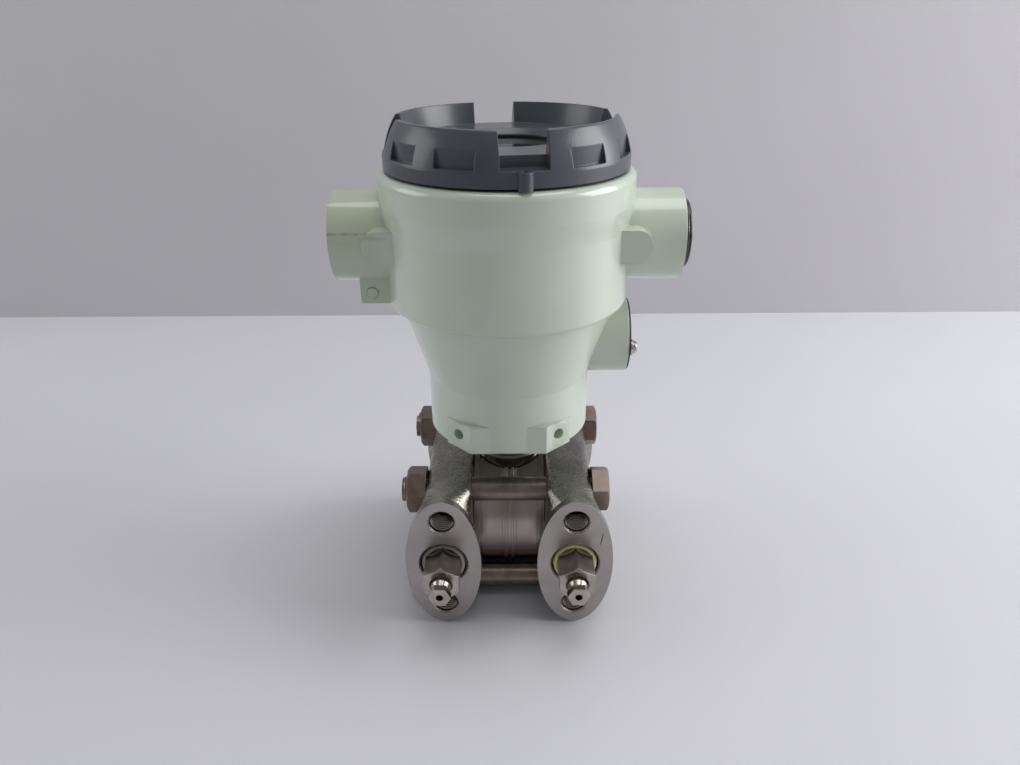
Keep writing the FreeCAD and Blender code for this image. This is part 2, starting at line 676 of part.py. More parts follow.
def capsule_half(label, turn):
    """One machined half of the capsule, with a core in the weld ring and a grooved end."""
    half = "capsule_long / 2"
    core = "capsule_radius - ring_wall - running_gap"
    body = new_body(label, z="port_high", turn=turn)
    outline = new_sketch(body, label + "_outline", "XZ_Plane")
    groove_end = f"{half} - groove_wide"
    draw_outline(outline, [
        ("foil_thick", "0"), (f"{half} - foil_thick * 2", "0"),
        (f"{half} - foil_thick * 2", "diaphragm_radius"), (half, "diaphragm_radius"),
        (half, "gasket_inner"), (f"{half} - gasket_deep", "gasket_inner"),
        (f"{half} - gasket_deep", "gasket_inner + gasket_wide"), (half, "gasket_inner + gasket_wide"),
        (half, "capsule_radius - groove_deep / 2"), (f"{groove_end}", "capsule_radius - groove_deep / 2"),
        (f"{groove_end}", "capsule_radius"),
        (f"{groove_end} - groove_land", "capsule_radius"),
        (f"{groove_end} - groove_land", "capsule_radius - groove_deep"),
        (f"{groove_end} - groove_land - groove_slot", "capsule_radius - groove_deep"),
        (f"{groove_end} - groove_land - groove_slot", "capsule_radius"),
        ("ring_half", "capsule_radius"), ("ring_half", core), ("foil_thick", core),
    ])
    turn_profile(body, outline, "H_Axis")
    return body


def weld_ring():
    """The ring that joins the two halves, with a raised weld at each side of the middle."""
    outline = [("-ring_half", "capsule_radius - ring_wall"), ("ring_half", "capsule_radius - ring_wall"),
               ("ring_half", "capsule_radius")]
    for side in ("", "-"):
        near, far = f"{side}(ring_half / 4)", f"{side}(ring_half / 4 + ridge_wide)"
        first, last = (far, near) if side == "" else (near, far)
        outline += [(first, "capsule_radius"), (first, "capsule_radius + ridge_high"),
                    (last, "capsule_radius + ridge_high"), (last, "capsule_radius")]
    outline.append(("-ring_half", "capsule_radius"))
    return turned_part("capsule_weld_ring", outline, "H_Axis", z="port_high")


def isolating_diaphragm(label, turn):
    """A thin corrugated metal disc in the recess of a capsule half."""
    outer, inner = "capsule_long / 2 - foil_thick * 2", "capsule_long / 2 - foil_thick"
    corners = [(f"{outer} + weld_gap", "0")]
    near, far = [], []
    for step in range(1, 4):
        radius = f"diaphragm_radius * {step} / 4"
        lift = "foil_thick" if step % 2 else "foil_thick / 2"
        near.append((f"{outer} + {lift}", radius))
        far.append((f"{inner} + {lift}", radius))
    rim = "diaphragm_radius - running_gap"
    corners += near + [(f"{outer} + weld_gap", rim), (f"{inner} + weld_gap", rim)]
    corners += far[::-1] + [(f"{inner} + weld_gap", "0")]
    return turned_part(label, corners, "H_Axis", z="port_high", turn=turn)


def flange_gasket(label, turn):
    """The sealing ring in the end groove of the capsule, pressed against the flange."""
    low, high = "capsule_long / 2 - gasket_deep", "plate_inner"
    inner, outer = "gasket_inner + running_gap", "gasket_inner + gasket_wide - running_gap"
    return turned_part(label, [(low, inner), (high, inner), (high, outer), (low, outer)], "H_Axis",
                       z="port_high", turn=turn)


# ---------------------------------------------------------------- vent plugs


def vent_plug(label, x):
    """A hexagon plug in the front port, bored for the needle, with a conical seat for the ball."""
    body = new_body(label, x=x, y="-face", z="port_high")
    seal_end = "recess_deep - vent_seal_thick"
    hexagon = new_sketch(body, label + "_hexagon", "XZ_Plane", f"-({seal_end})")
    draw_hexagon(hexagon, "0", "0", "vent_across", "30")
    pad(body, hexagon, f"vent_stand + {seal_end}")
    thread = new_sketch(body, label + "_thread", "XZ_Plane", f"-({seal_end})")
    draw_circle(thread, "0", "0", "port_radius - running_gap")
    pad(body, thread, "vent_seal_thick + vent_thread_long", backwards=True)

    corner, flat = "vent_across / sqrt(3)", "vent_across / 2 * hex_face"
    drop = f"({corner} - {flat}) * tan(hex_slope)"
    ring = new_sketch(body, label + "_corners", "YZ_Plane")
    draw_outline(ring, [
        ("-vent_stand", flat), ("-vent_stand", f"{corner} + cut_over"),
        (f"-vent_stand + {drop}", f"{corner} + cut_over"), (f"-vent_stand + {drop}", corner),
    ])
    turn_away(body, ring, "H_Axis")

    bore = new_sketch(body, label + "_bore", "YZ_Plane")
    draw_outline(bore, [
        ("-vent_stand", "0"), ("recess_deep + vent_thread_long", "0"),
        ("recess_deep + vent_thread_long", "seat_radius"), ("seat_apex - seat_radius", "seat_radius"),
        ("bore_end", "needle_bore"), ("-vent_stand + mouth_bevel", "needle_bore"),
        ("-vent_stand", "needle_bore + mouth_bevel"),
    ])
    turn_away(body, bore, "H_Axis")
    return body


def vent_seal(label, x):
    inner = "port_radius"
    return turned_part(label, [
        ("recess_deep - vent_seal_thick", inner), ("recess_deep", inner),
        ("recess_deep", f"{inner} + vent_seal_wide"),
        ("recess_deep - vent_seal_thick", f"{inner} + vent_seal_wide"),
    ], "Y", x=x, y="-face", z="port_high")


def vent_needle(label, x):
    """The bleed screw: a turned shank, a waist, a hexagon tip and a hole down its middle."""
    body = new_body(label, x=x, y="-face", z="port_high")
    tip_low = "-needle_stand + needle_tip_long"
    shank = new_sketch(body, label + "_shank", "YZ_Plane")
    draw_outline(shank, [
        (tip_low, "0"), ("needle_rear", "0"), ("needle_rear", "needle_radius - needle_point"),
        ("needle_rear - needle_point", "needle_radius"),
        ("-vent_stand - needle_show", "needle_radius"), (tip_low, "needle_waist"),
    ])
    turn_profile(body, shank, "H_Axis")
    tip = new_sketch(body, label + "_tip", "XZ_Plane", "needle_stand - needle_tip_long")
    draw_hexagon(tip, "0", "0", "needle_tip_across", "needle_tip_turn")
    pad(body, tip, "needle_tip_long")
    bleed = new_sketch(body, label + "_bleed", "XZ_Plane", "needle_stand")
    draw_circle(bleed, "0", "0", "bleed_radius")
    pocket(body, bleed, "bleed_deep")
    return body


def vent_ball(label, x):
    """The closing ball between the needle and the seat."""
    body = new_body(label, x=x, y="-face", z="port_high")
    half = new_sketch(body, label + "_half", "YZ_Plane")
    draw_outline(half, [
        ("ball_place - ball_radius", "0"), ("ball_place + ball_radius", "0", "ball_radius", 1),
        ("ball_place", "ball_radius", "ball_radius", 1),
    ])
    turn_profile(body, half, "H_Axis")
    return body


# ---------------------------------------------------------------- neck


def o_ring(label, centre, middle, cord):
    """A round cord in a ring: centre is the ring's radius, middle its height."""
    return turned_part(label, [
        (f"{centre} + ({cord})", middle, cord, 1), (centre, f"{middle} + ({cord})", cord, 1),
        (f"{centre} - ({cord})", middle, cord, 1), (centre, f"{middle} - ({cord})", cord, 1),
    ])


def neck_tube():
    """The tube welded on the capsule: collar, neck, and the journal that the housing turns on."""
    body = new_body("neck_tube")
    foot = "port_high + capsule_radius / 2"
    shoulder = "base_low + shoulder_deep - running_gap"
    groove_in = "journal_radius - 2 * neck_seal_radius"
    groove_low, groove_high = "neck_seal_high - neck_seal_radius", "neck_seal_high + neck_seal_radius"
    outline = new_sketch(body, "neck_tube_outline", "XZ_Plane")
    draw_outline(outline, [
        ("neck_bore", foot), ("collar_radius", foot), ("collar_radius", "collar_top - mouth_bevel"),
        ("collar_radius - mouth_bevel", "collar_top"), ("neck_radius", "collar_top"),
        ("neck_radius", shoulder), ("journal_radius", shoulder), ("journal_radius", groove_low),
        (groove_in, groove_low), (groove_in, groove_high), ("journal_radius", groove_high),
        ("journal_radius", "clip_low"), ("journal_radius - clip_groove", "clip_low"),
        ("journal_radius - clip_groove", "clip_low + clip_thick + weld_gap"),
        ("journal_radius", "clip_low + clip_thick + weld_gap"), ("journal_radius", "neck_top"),
        ("neck_bore", "neck_top"),
    ])
    turn_profile(body, outline, "V_Axis")
    saddle = new_sketch(body, "neck_tube_saddle", "YZ_Plane")
    draw_circle(saddle, "0", "port_high", "capsule_radius + ridge_high + weld_gap")
    pocket(body, saddle, "2 * collar_radius + cut_over", symmetric=True)
    return body


def neck_retaining_ring():
    inner, outer = "journal_radius - clip_groove + running_gap", "journal_radius + clip_wide"
    return turned_part("neck_retaining_ring", [
        (inner, "clip_low"), (outer, "clip_low"), (outer, "clip_low + clip_thick"),
        (inner, "clip_low + clip_thick"),
    ])


def sensor_electronics():
    """The sealed amplifier that stands on the neck, with a keyed connector on top."""
    body = new_body("sensor_electronics", z="neck_top")
    can = new_sketch(body, "sensor_electronics_can", "XZ_Plane")
    draw_outline(can, [
        ("0", "0"), ("sensor_radius", "0"), ("sensor_radius", "sensor_tall - mouth_bevel"),
        ("sensor_radius - mouth_bevel", "sensor_tall"), ("0", "sensor_tall"),
    ])
    turn_profile(body, can, "V_Axis")
    socket = new_sketch(body, "sensor_electronics_connector", "XY_Plane", "sensor_tall")
    draw_rectangle(socket, "-sensor_radius / 2", "sensor_radius / 2", "-connector_half", "connector_half")
    pad(body, socket, "connector_tall")
    return body


# ---------------------------------------------------------------- housing


def housing():
    """The casting: round base with two set screw bosses, taper, cylinder and side bosses."""
    body = new_body("housing")
    corner = "lip_radius - lip_round"
    outline = new_sketch(body, "housing_outline", "XZ_Plane")
    draw_outline(outline, [
        ("0", "base_low"), ("base_radius - mouth_bevel", "base_low"),
        ("base_radius", "base_low + mouth_bevel"), ("base_radius", "cone_low"),
        ("body_radius - step_wide", "body_low"),
        ("body_radius - body_round", "body_low", "body_round", 1),
        ("body_radius", "body_low + body_round"),
        ("body_radius", "lip_low - lip_flare", "lip_curve", -1),
        ("(body_radius + lip_radius) / 2", "lip_low - lip_flare / 2", "lip_curve", 1),
        ("lip_radius", "lip_low"), ("lip_radius", "lip_top - lip_round", "lip_round", 1),
        (corner, "lip_top"), ("0", "lip_top"),
    ])
    turn_profile(body, outline, "V_Axis")

    conduits = new_sketch(body, "housing_conduits", "YZ_Plane")
    draw_circle(conduits, "0", "conduit_high", "conduit_radius")
    pad(body, conduits, "2 * conduit_reach", symmetric=True)

    side_boss = new_sketch(body, "housing_side_boss", "YZ_Plane")
    draw_circle(side_boss, "0", "side_boss_high", "side_boss_radius")
    pad(body, side_boss, "side_boss_reach")

    lugs = new_sketch(body, "housing_lugs", "XZ_Plane", "lug_front - lug_thick")
    straight = "lug_reach - lug_tall / 2"
    middle = "conduit_high + lug_up"
    low, high = f"{middle} - lug_tall / 2", f"{middle} + lug_tall / 2"
    draw_outline(lugs, [
        (f"-({straight})", low), (straight, low, "lug_tall / 2", 1),
        ("lug_reach", middle, "lug_tall / 2", 1), (straight, high),
        (f"-({straight})", high, "lug_tall / 2", 1),
        ("-lug_reach", middle, "lug_tall / 2", 1),
    ])
    pad(body, lugs, "lug_thick")

    tab = new_sketch(body, "housing_tab", "XZ_Plane", "tab_front - tab_thick")
    draw_rounded(tab, "-tab_reach", "-cavity_radius", "tab_low", "tab_low + tab_tall", "mouth_bevel")
    pad(body, tab, "tab_thick")

    block = new_sketch(body, "housing_block", "XY_Plane", "base_low")
    reach = "(base_radius + mouth_bevel)"
    inner, outer = "(set_screw_angle + block_turn)", "(set_screw_angle + block_span)"
    draw_outline(block, [
        ("-facet_half", "-facet_reach"), ("facet_half", "-facet_reach"),
        (f"{reach} * sin({inner})", f"-{reach} * cos({inner})"),
        (f"{reach} * sin({outer})", f"-{reach} * cos({outer})"),
        ("0", "0"),
        (f"-{reach} * sin({outer})", f"-{reach} * cos({outer})"),
        (f"-{reach} * sin({inner})", f"-{reach} * cos({inner})"),
    ])
    pad(body, block, "block_high")

    boss = new_sketch(body, "housing_set_boss", "XZ_Plane", turn="set_screw_angle")
    draw_circle(boss, "0", "base_low + set_screw_high", "set_boss_radius")
    boss_pad = pad(body, boss, "set_boss_reach")
    mirror(body, [boss_pad], "YZ_Plane", "housing_left_set_boss")

    # the hollow: bore on the neck, well for the electronics, chamber, thread and seal seat
    cavity = new_sketch(body, "housing_cavity", "XZ_Plane")
    bore = "skirt_radius + thread_gap"
    seat = "seal_circle + seal_cord + seal_play"
    seat_low = "seal_high - seal_cord - seal_play"
    draw_outline(cavity, [
        ("0", "base_low"), ("neck_radius + running_gap", "base_low"),
        ("neck_radius + running_gap", "base_low + shoulder_deep"),
        ("journal_radius + running_gap", "base_low + shoulder_deep"),
        ("journal_radius + running_gap", "hub_top"),
        ("well_radius", "hub_top"), ("well_radius", "hub_top + well_high"),
        ("cavity_radius - ledge_wide", "body_low"), ("cavity_radius - ledge_wide", "ledge_high"),
        ("cavity_radius", "ledge_high"), ("cavity_radius", "skirt_low - bore_ease - bore_slope"),
        (bore, "skirt_low - bore_ease"),
        (bore, seat_low), (seat, seat_low), (seat, "lip_top"), ("0", "lip_top"),
    ])
    turn_away(body, cavity, "V_Axis")

    entries = new_sketch(body, "housing_entries", "YZ_Plane")
    draw_circle(entries, "0", "conduit_high", "conduit_bore")
    pocket(body, entries, "2 * conduit_reach", symmetric=True)

    side_entry = new_sketch(body, "housing_side_entry", "YZ_Plane", "side_boss_reach")
    draw_circle(side_entry, "0", "side_boss_high", "side_bore")
    pocket(body, side_entry, "side_boss_reach - well_radius")

    screw_hole = new_sketch(body, "housing_set_hole", "XZ_Plane", turn="set_screw_angle")
    draw_circle(screw_hole, "0", "base_low + set_screw_high", "set_screw_radius")
    hole = pocket(body, screw_hole, "set_boss_reach", backwards=True)
    mirror(body, [hole], "YZ_Plane", "housing_left_set_hole")

    earth_hole = new_sketch(body, "housing_earth_hole", "YZ_Plane", "side_boss_reach")
    draw_circle(earth_hole, "-earth_forward", "side_boss_high - earth_drop", "earth_radius / 2")
    pocket(body, earth_hole, "earth_long")

    tab_hole = new_sketch(body, "housing_tab_hole", "XZ_Plane", "tab_front")
    draw_circle(tab_hole, "-tab_reach + tab_screw_in", "tab_low + tab_screw_up",
                "tab_screw_radius + weld_gap")
    pocket(body, tab_hole, "tab_screw_deep")

    reach_end, bore_radius = value("conduit_reach"), value("conduit_bore")
    bevel(body, "mouth_bevel",
          lambda centre, radius: abs(abs(centre.x) - reach_end) < 1e-3 and abs(radius - bore_radius) < 1e-3,
          "housing_entry_mouths")
    return body


def set_screws():
    """Two headless screws that lock the housing on the neck."""
    members = []
    for side, name in (("", "right"), ("-", "left")):
        body = new_body(f"set_screw_{name}", z="base_low + set_screw_high")
        shank = new_sketch(body, f"set_screw_{name}_shank", "XZ_Plane", "journal_radius + weld_gap",
                           turn=f"{side}set_screw_angle")
        draw_circle(shank, "0", "0", "set_screw_radius - running_gap")
        pad(body, shank, "set_boss_reach - set_screw_sunk - journal_radius - weld_gap")
        members.append(body)
    return group("housing_set_screws", members)


def tab_screw():
    """A low round screw head in the face of the lower tab."""
    body = new_body("tab_screw", x="-tab_reach + tab_screw_in", y="-tab_front", z="tab_low + tab_screw_up")
    head = new_sketch(body, "tab_screw_head", "XZ_Plane", "-tab_screw_deep")
    draw_circle(head, "0", "0", "tab_screw_radius")
    pad(body, head, "tab_screw_deep + tab_screw_proud")
    return body


def side_cover_plate():
    """The round plate on the side boss, with a spigot in the opening and the earth screw's hole."""
    body = turned_part("side_cover_plate", [
        ("-side_plate_spigot", "0"), ("side_plate_thick", "0"),
        ("side_plate_thick", "side_boss_radius - side_plate_edge"),
        ("0", "side_boss_radius - side_plate_edge"), ("0", "side_bore - running_gap"),
        ("-side_plate_spigot", "side_bore - running_gap"),
    ], "H_Axis", x="side_boss_reach", z="side_boss_high")
    hole = new_sketch(body, "side_cover_plate_hole", "YZ_Plane", "side_plate_thick")
    draw_circle(hole, "-earth_forward", "-earth_drop", "earth_radius / 2")
    pocket(body, hole, "side_plate_thick")
    return body


def earth_screw():
    """A pan-head screw with a washer, through the side plate into the boss."""
    body = turned_part("earth_screw", [
        ("-earth_long", "0"), ("earth_high", "0"), ("earth_high", "earth_radius - mouth_bevel"),
        ("earth_high - mouth_bevel", "earth_radius"), ("washer_thick", "earth_radius"),
        ("washer_thick", "earth_radius + washer_wide"), ("0", "earth_radius + washer_wide"),
        ("0", "earth_radius / 2 - running_gap"), ("-earth_long", "earth_radius / 2 - running_gap"),
    ], "H_Axis", x="side_boss_reach + side_plate_thick", y="-earth_forward",
        z="side_boss_high - earth_drop")
    slot = new_sketch(body, "earth_screw_slot", "YZ_Plane", "earth_high")
    draw_rectangle(slot, "-earth_radius", "earth_radius", "-slot_half", "slot_half")
    pocket(body, slot, "slot_deep")
    return body


# ---------------------------------------------------------------- conduit plug


def conduit_plug():
    """A screwed plug with a stepped, domed head and a hexagon socket."""
    thread = "conduit_bore - running_gap * 2"
    body = turned_part("conduit_plug", [
        ("-plug_thread_long", "0"), ("plug_stand", "0"),
        ("plug_stand", "plug_crown", "plug_crown_curve", -1),
        ("plug_step_high", "plug_step"), ("plug_step_high", "plug_radius - mouth_bevel"),
        ("plug_step_high - mouth_bevel", "plug_radius"), ("plug_seal_thick", "plug_radius"),
        ("plug_seal_thick", thread), ("-plug_thread_long + mouth_bevel", thread),
        ("-plug_thread_long", f"{thread} - mouth_bevel"),
    ], "H_Axis", x="conduit_reach", z="conduit_high")
    socket = new_sketch(body, "conduit_plug_socket", "YZ_Plane", "plug_stand")
    draw_hexagon(socket, "0", "0", "plug_socket_across")
    pocket(body, socket, "plug_socket_deep")
    return body


def conduit_plug_seal():
    inner, outer = "conduit_bore + mouth_bevel", "plug_seal_radius"
    low, high = "weld_gap", "plug_seal_thick - weld_gap"
    return turned_part("conduit_plug_seal", [(low, inner), (high, inner), (high, outer), (low, outer)],
                       "H_Axis", x="conduit_reach", z="conduit_high")


# ---------------------------------------------------------------- cover


def cover():
    """The screwed cover: a dished top with a window, four wrench slots and eight finger pockets."""
    body = new_body("cover", turn="slot_angle")
    outline = new_sketch(body, "cover_outline", "XZ_Plane")
    boss, seat = "glass_radius + retainer_wide", "glass_radius + glass_play"
    skirt_inner = "skirt_radius - skirt_wall"
    draw_outline(outline, [
        ("window_radius", "glass_seat"), ("window_radius + window_bevel", "dish_floor"),
        ("dish_radius", "dish_floor"), ("rim_radius - rim_wide", "cover_top"),
        ("rim_radius - rim_wide / 4", "cover_top"),
        ("rim_radius", "cover_top - rim_wide / 4", "rim_curve", -1),
        ("cover_radius", "cover_low + cover_straight"), ("cover_radius", "cover_low"),
        ("skirt_radius", "cover_low"), ("skirt_radius", "skirt_low"), (skirt_inner, "skirt_low"),
        (skirt_inner, "web_low"), (f"{boss} + skirt_wall", "web_low"),
        (f"{boss} + skirt_wall", "retainer_low"), (f"{boss} + glass_play", "retainer_low"),
        (f"{boss} + glass_play", "glass_low"), (seat, "glass_low"), (seat, "glass_seat"),
    ])
    turn_profile(body, outline, "V_Axis")

    # every third of the twelve pockets is swallowed by a slot
    finger = new_sketch(body, "cover_finger", "XY_Plane", "slot_floor")
    half, floor = "finger_wide / 2", "(cover_radius - finger_depth)"
    corner = f"-sqrt({floor} * {floor} - {half} * {half})"
    draw_outline(finger, [
        (f"-{half}", corner, floor, 1), (half, corner),
        (half, "-cover_radius - cut_over"), (f"-{half}", "-cover_radius - cut_over"),
    ])
    first_finger = pocket(body, finger, "finger_tall", backwards=True)
    polar(body, [first_finger], 12, "cover_fingers")

    slot = new_sketch(body, "cover_slot", "YZ_Plane")
    outside, above = "-cover_radius - cut_over", "cover_top + cut_over"
    inside = "-dish_radius * cos(slot_spread)"
    draw_outline(slot, [
        (outside, "slot_floor"), ("-slot_inner", "slot_floor"), ("-slot_inner", "dish_floor"),
        (inside, "dish_floor"), (inside, above), (outside, above),
    ])
    first_slot = pocket(body, slot, "slot_wide", symmetric=True)
    polar(body, [first_slot], 4, "cover_slots")

    lock = new_sketch(body, "cover_lock_boss", "XY_Plane", "cover_low - lock_boss_drop")
    draw_circle(lock, "0", "-cover_radius + lock_boss_out", "lock_boss_radius")
    pad(body, lock, "slot_high + lock_boss_drop")
    seal_room = new_sketch(body, "cover_seal_room", "XZ_Plane")
    room_low, room_edge = "cover_low - 2 * lock_boss_drop", "seal_circle + seal_cord + 2 * seal_play"
    draw_outline(seal_room, [
        ("skirt_radius", room_low), (room_edge, room_low), (room_edge, "cover_low"),
        ("skirt_radius", "cover_low"),
    ])
    turn_away(body, seal_room, "V_Axis")
    hole = new_sketch(body, "cover_lock_hole", "XY_Plane", "slot_floor")
    draw_circle(hole, "0", "-cover_radius + lock_boss_out", "lock_screw_radius")
    pocket(body, hole, "slot_high + lock_boss_drop")
    return body


def cover_lock_screw():
    """The grub screw in the cover's boss."""
    body = new_body("cover_lock_screw", turn="slot_angle")
    shank = new_sketch(body, "cover_lock_screw_shank", "XY_Plane", "cover_low - lock_boss_drop")
    draw_circle(shank, "0", "-cover_radius + lock_boss_out", "lock_screw_radius - running_gap")
    pad(body, shank, "slot_high + lock_boss_drop - lock_screw_sunk")
    return body


def cover_window():
    edge = "glass_radius - mouth_bevel"
    return turned_part("cover_window", [
        ("0", "glass_low"), (edge, "glass_low"), ("glass_radius", "glass_low + mouth_bevel"),
        ("glass_radius", "glass_top - mouth_bevel"), (edge, "glass_top"), ("0", "glass_top"),
    ])


def window_gasket():
    return turned_part("window_gasket", [
        ("window_radius", "glass_top"), ("glass_radius", "glass_top"),
        ("glass_radius", "glass_seat"), ("window_radius", "glass_seat"),
    ])


def window_retainer():
    """The threaded ring that holds the glass, with two spanner notches in its underside."""
    body = turned_part("window_retainer", [
        ("window_radius", "retainer_low"), ("glass_radius + retainer_wide", "retainer_low"),
        ("glass_radius + retainer_wide", "glass_low"), ("window_radius", "glass_low"),
    ])
    notch = new_sketch(body, "window_retainer_notch", "XY_Plane", "retainer_low")
    draw_rectangle(notch, "-glass_radius * 2", "glass_radius * 2", "-retainer_wide / 2",
                   "retainer_wide / 2")
    pocket(body, notch, "retainer_thick / 2", backwards=True)
    return body


# ---------------------------------------------------------------- inside the housing


TERMINALS = [f"{step} * terminal_spread" for step in (-2, -1, 0, 1, 2)]


def terminal_block():
    """A moulded disc on the housing's ledge, with a well for each terminal."""
    body = new_body("terminal_block", z="ledge_high")
    disc = new_sketch(body, "terminal_block_disc", "XY_Plane")
    draw_circle(disc, "0", "0", "cavity_radius - block_play")
    pad(body, disc, "block_tall")
    wells = new_sketch(body, "terminal_block_wells", "XY_Plane", "block_tall")
    for x in TERMINALS:
        draw_rectangle(wells, f"{x} - terminal_well_half", f"{x} + terminal_well_half",
                       "-terminal_row - terminal_spread", "-terminal_row + terminal_spread / 2")
    pocket(body, wells, "terminal_well")
    passage = new_sketch(body, "terminal_block_passage", "XY_Plane", "block_tall")
    draw_circle(passage, "0", "terminal_row / 2", "neck_bore")
    pocket(body, passage, "block_tall")
    return body


def terminal_screws():
    """One slotted screw in each well of the terminal block."""
    body = new_body("terminal_screws", z="block_top - terminal_well")
    body.AllowCompound = True
    heads = new_sketch(body, "terminal_screws_heads", "XY_Plane")
    for x in TERMINALS:
        draw_circle(heads, x, "-terminal_row", "terminal_radius")
    pad(body, heads, "terminal_high")
    slots = new_sketch(body, "terminal_screws_slots", "XY_Plane", "terminal_high")
    for x in TERMINALS:
        draw_rectangle(slots, f"{x} - terminal_radius", f"{x} + terminal_radius",
                       "-terminal_row - slot_half", "-terminal_row + slot_half")
    pocket(body, slots, "terminal_high / 2")
    return body


def board_posts():
    """Three posts that carry the circuit board above the terminals."""
    body = new_body("board_posts", z="block_top")
    body.AllowCompound = True
    feet = new_sketch(body, "board_posts_feet", "XY_Plane")
    for angle in (90, 210, 330):
        draw_circle(feet, f"post_circle * cos({angle})", f"post_circle * sin({angle})", "post_radius")
    pad(body, feet, "post_tall")
    return body


def circuit_board():
    """The round main board, with a few components on its underside."""
    body = new_body("circuit_board", z="board_low")
    disc = new_sketch(body, "circuit_board_disc", "XY_Plane")
    draw_circle(disc, "0", "0", "board_radius")
    pad(body, disc, "board_thick")
    chips = new_sketch(body, "circuit_board_chips", "XY_Plane")
    draw_rectangle(chips, "-chip_gap - chip_wide", "-chip_gap", "-chip_wide / 2", "chip_wide / 2")
    for side in ("-", ""):
        ends = (f"{side}chip_gap", f"{side}(chip_gap + small_chip)")
        draw_rectangle(chips, "chip_gap", "chip_gap + chip_wide", *ends)
    pad(body, chips, "chip_thick", backwards=True)
    return body


def display_module():
    """The round display on the circuit board, under the window."""
    body = turned_part("display_module", [
        ("0", "0"), ("display_radius", "0"), ("display_radius", "display_tall - mouth_bevel"),
        ("display_radius - mouth_bevel", "display_tall"), ("0", "display_tall"),
    ], z="board_top")
    recess = new_sketch(body, "display_module_recess", "XY_Plane", "display_tall")
    draw_rectangle(recess, "-screen_wide / 2", "screen_wide / 2", "-screen_tall / 2", "screen_tall / 2")
    pocket(body, recess, "screen_deep")
    return body


def display_screen():
    body = new_body("display_screen", z="display_top - screen_deep")
    pane = new_sketch(body, "display_screen_pane", "XY_Plane")
    draw_rectangle(pane, "-screen_wide / 2 + weld_gap", "screen_wide / 2 - weld_gap",
                   "-screen_tall / 2 + weld_gap", "screen_tall / 2 - weld_gap")
    pad(body, pane, "screen_deep / 2")
    return body


# ---------------------------------------------------------------- the assembly


def centre_diaphragm():
    """The measuring diaphragm between the two halves of the capsule."""
    rim = "capsule_radius - ring_wall - running_gap"
    return turned_part("centre_diaphragm", [
        ("-foil_thick / 2", "0"), ("foil_thick / 2", "0"), ("foil_thick / 2", rim),
        ("-foil_thick / 2", rim),
    ], "H_Axis", z="port_high")


PARTS = [
    capsule_half("capsule_half_right", "0"),
    capsule_half("capsule_half_left", "180"),
    weld_ring(),
    centre_diaphragm(),
    neck_tube(),
    o_ring("neck_seal", "journal_radius - neck_seal_radius", "neck_seal_high",
           "neck_seal_radius - seal_play"),
    neck_retaining_ring(),
    sensor_electronics(),
    group("flange_bolts", [flange_bolt(n, *place) for n, place in enumerate(BOLT_PLACES, 1)]),
    group("flange_nuts", [flange_nut(n, *place) for n, place in enumerate(BOLT_PLACES, 1)]),
    housing(),
    set_screws(),
    tab_screw(),
    side_cover_plate(),
    earth_screw(),
    terminal_block(),
    terminal_screws(),
    board_posts(),
    circuit_board(),
    display_module(),
    display_screen(),
    conduit_plug(),
    conduit_plug_seal(),
    o_ring("cover_seal", "seal_circle", "seal_high", "seal_cord"),
    cover(),
    cover_lock_screw(),
    cover_window(),
    window_gasket(),
    window_retainer(),
]
TAPS = ("tapped_radius", "rear_tapped_radius")
for side, x, turn, taps in (("right", "port_spacing / 2", "0", TAPS),
                            ("left", "-port_spacing / 2", "180", TAPS[::-1])):
    PARTS += [
        process_flange(f"process_flange_{side}", turn, *taps),
        flange_gasket(f"flange_gasket_{side}", turn),
        isolating_diaphragm(f"isolating_diaphragm_{side}", turn),
        vent_plug(f"vent_plug_{side}", x),
        vent_seal(f"vent_seal_{side}", x),
        vent_needle(f"vent_needle_{side}", x),
        vent_ball(f"vent_ball_{side}", x),
    ]

DOC.recompute()

# ---------------------------------------------------------------- checks and export

for item in DOC.Objects:
    if "Invalid" in item.State or "Error" in item.State:
        raise ValueError(f"{item.Label} failed: {item.State}")
for part in PARTS:
    if part.Shape.isNull() or not part.Shape.isValid():
        raise ValueError(f"{part.Label} has no valid shape")

os.makedirs("parts", exist_ok=True)
for part in PARTS:
    part.Shape.exportStep(os.path.join("parts", part.Label + ".step"))
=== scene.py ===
# %% [markdown]
# # A differential pressure transmitter, dressed for the camera
# The instrument was drawn in CAD, and its solids arrive here as fixed nodes that keep their
# shape. This lesson lights them, gives each its finish, and adds the small worked details that
# a solid model leaves out, such as screw threads and a weld bead.

# %% Load the frame
import json
import math

import bpy
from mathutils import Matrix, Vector


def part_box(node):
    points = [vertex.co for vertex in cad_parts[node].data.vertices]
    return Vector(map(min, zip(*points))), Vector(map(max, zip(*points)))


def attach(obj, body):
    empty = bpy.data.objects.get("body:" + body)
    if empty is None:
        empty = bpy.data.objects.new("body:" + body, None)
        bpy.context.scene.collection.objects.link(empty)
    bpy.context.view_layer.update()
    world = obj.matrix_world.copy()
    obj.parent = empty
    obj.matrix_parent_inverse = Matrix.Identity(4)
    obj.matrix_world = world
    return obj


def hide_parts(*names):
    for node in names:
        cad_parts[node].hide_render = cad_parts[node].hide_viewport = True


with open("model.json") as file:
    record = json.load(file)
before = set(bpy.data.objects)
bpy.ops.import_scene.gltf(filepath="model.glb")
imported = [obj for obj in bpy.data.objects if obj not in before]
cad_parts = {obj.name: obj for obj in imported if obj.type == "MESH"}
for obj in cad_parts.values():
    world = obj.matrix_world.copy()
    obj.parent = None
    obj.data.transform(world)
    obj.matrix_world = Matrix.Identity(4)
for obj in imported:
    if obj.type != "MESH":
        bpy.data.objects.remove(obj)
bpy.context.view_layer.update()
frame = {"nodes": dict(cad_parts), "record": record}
NODES = frame["nodes"]
MM = 0.001


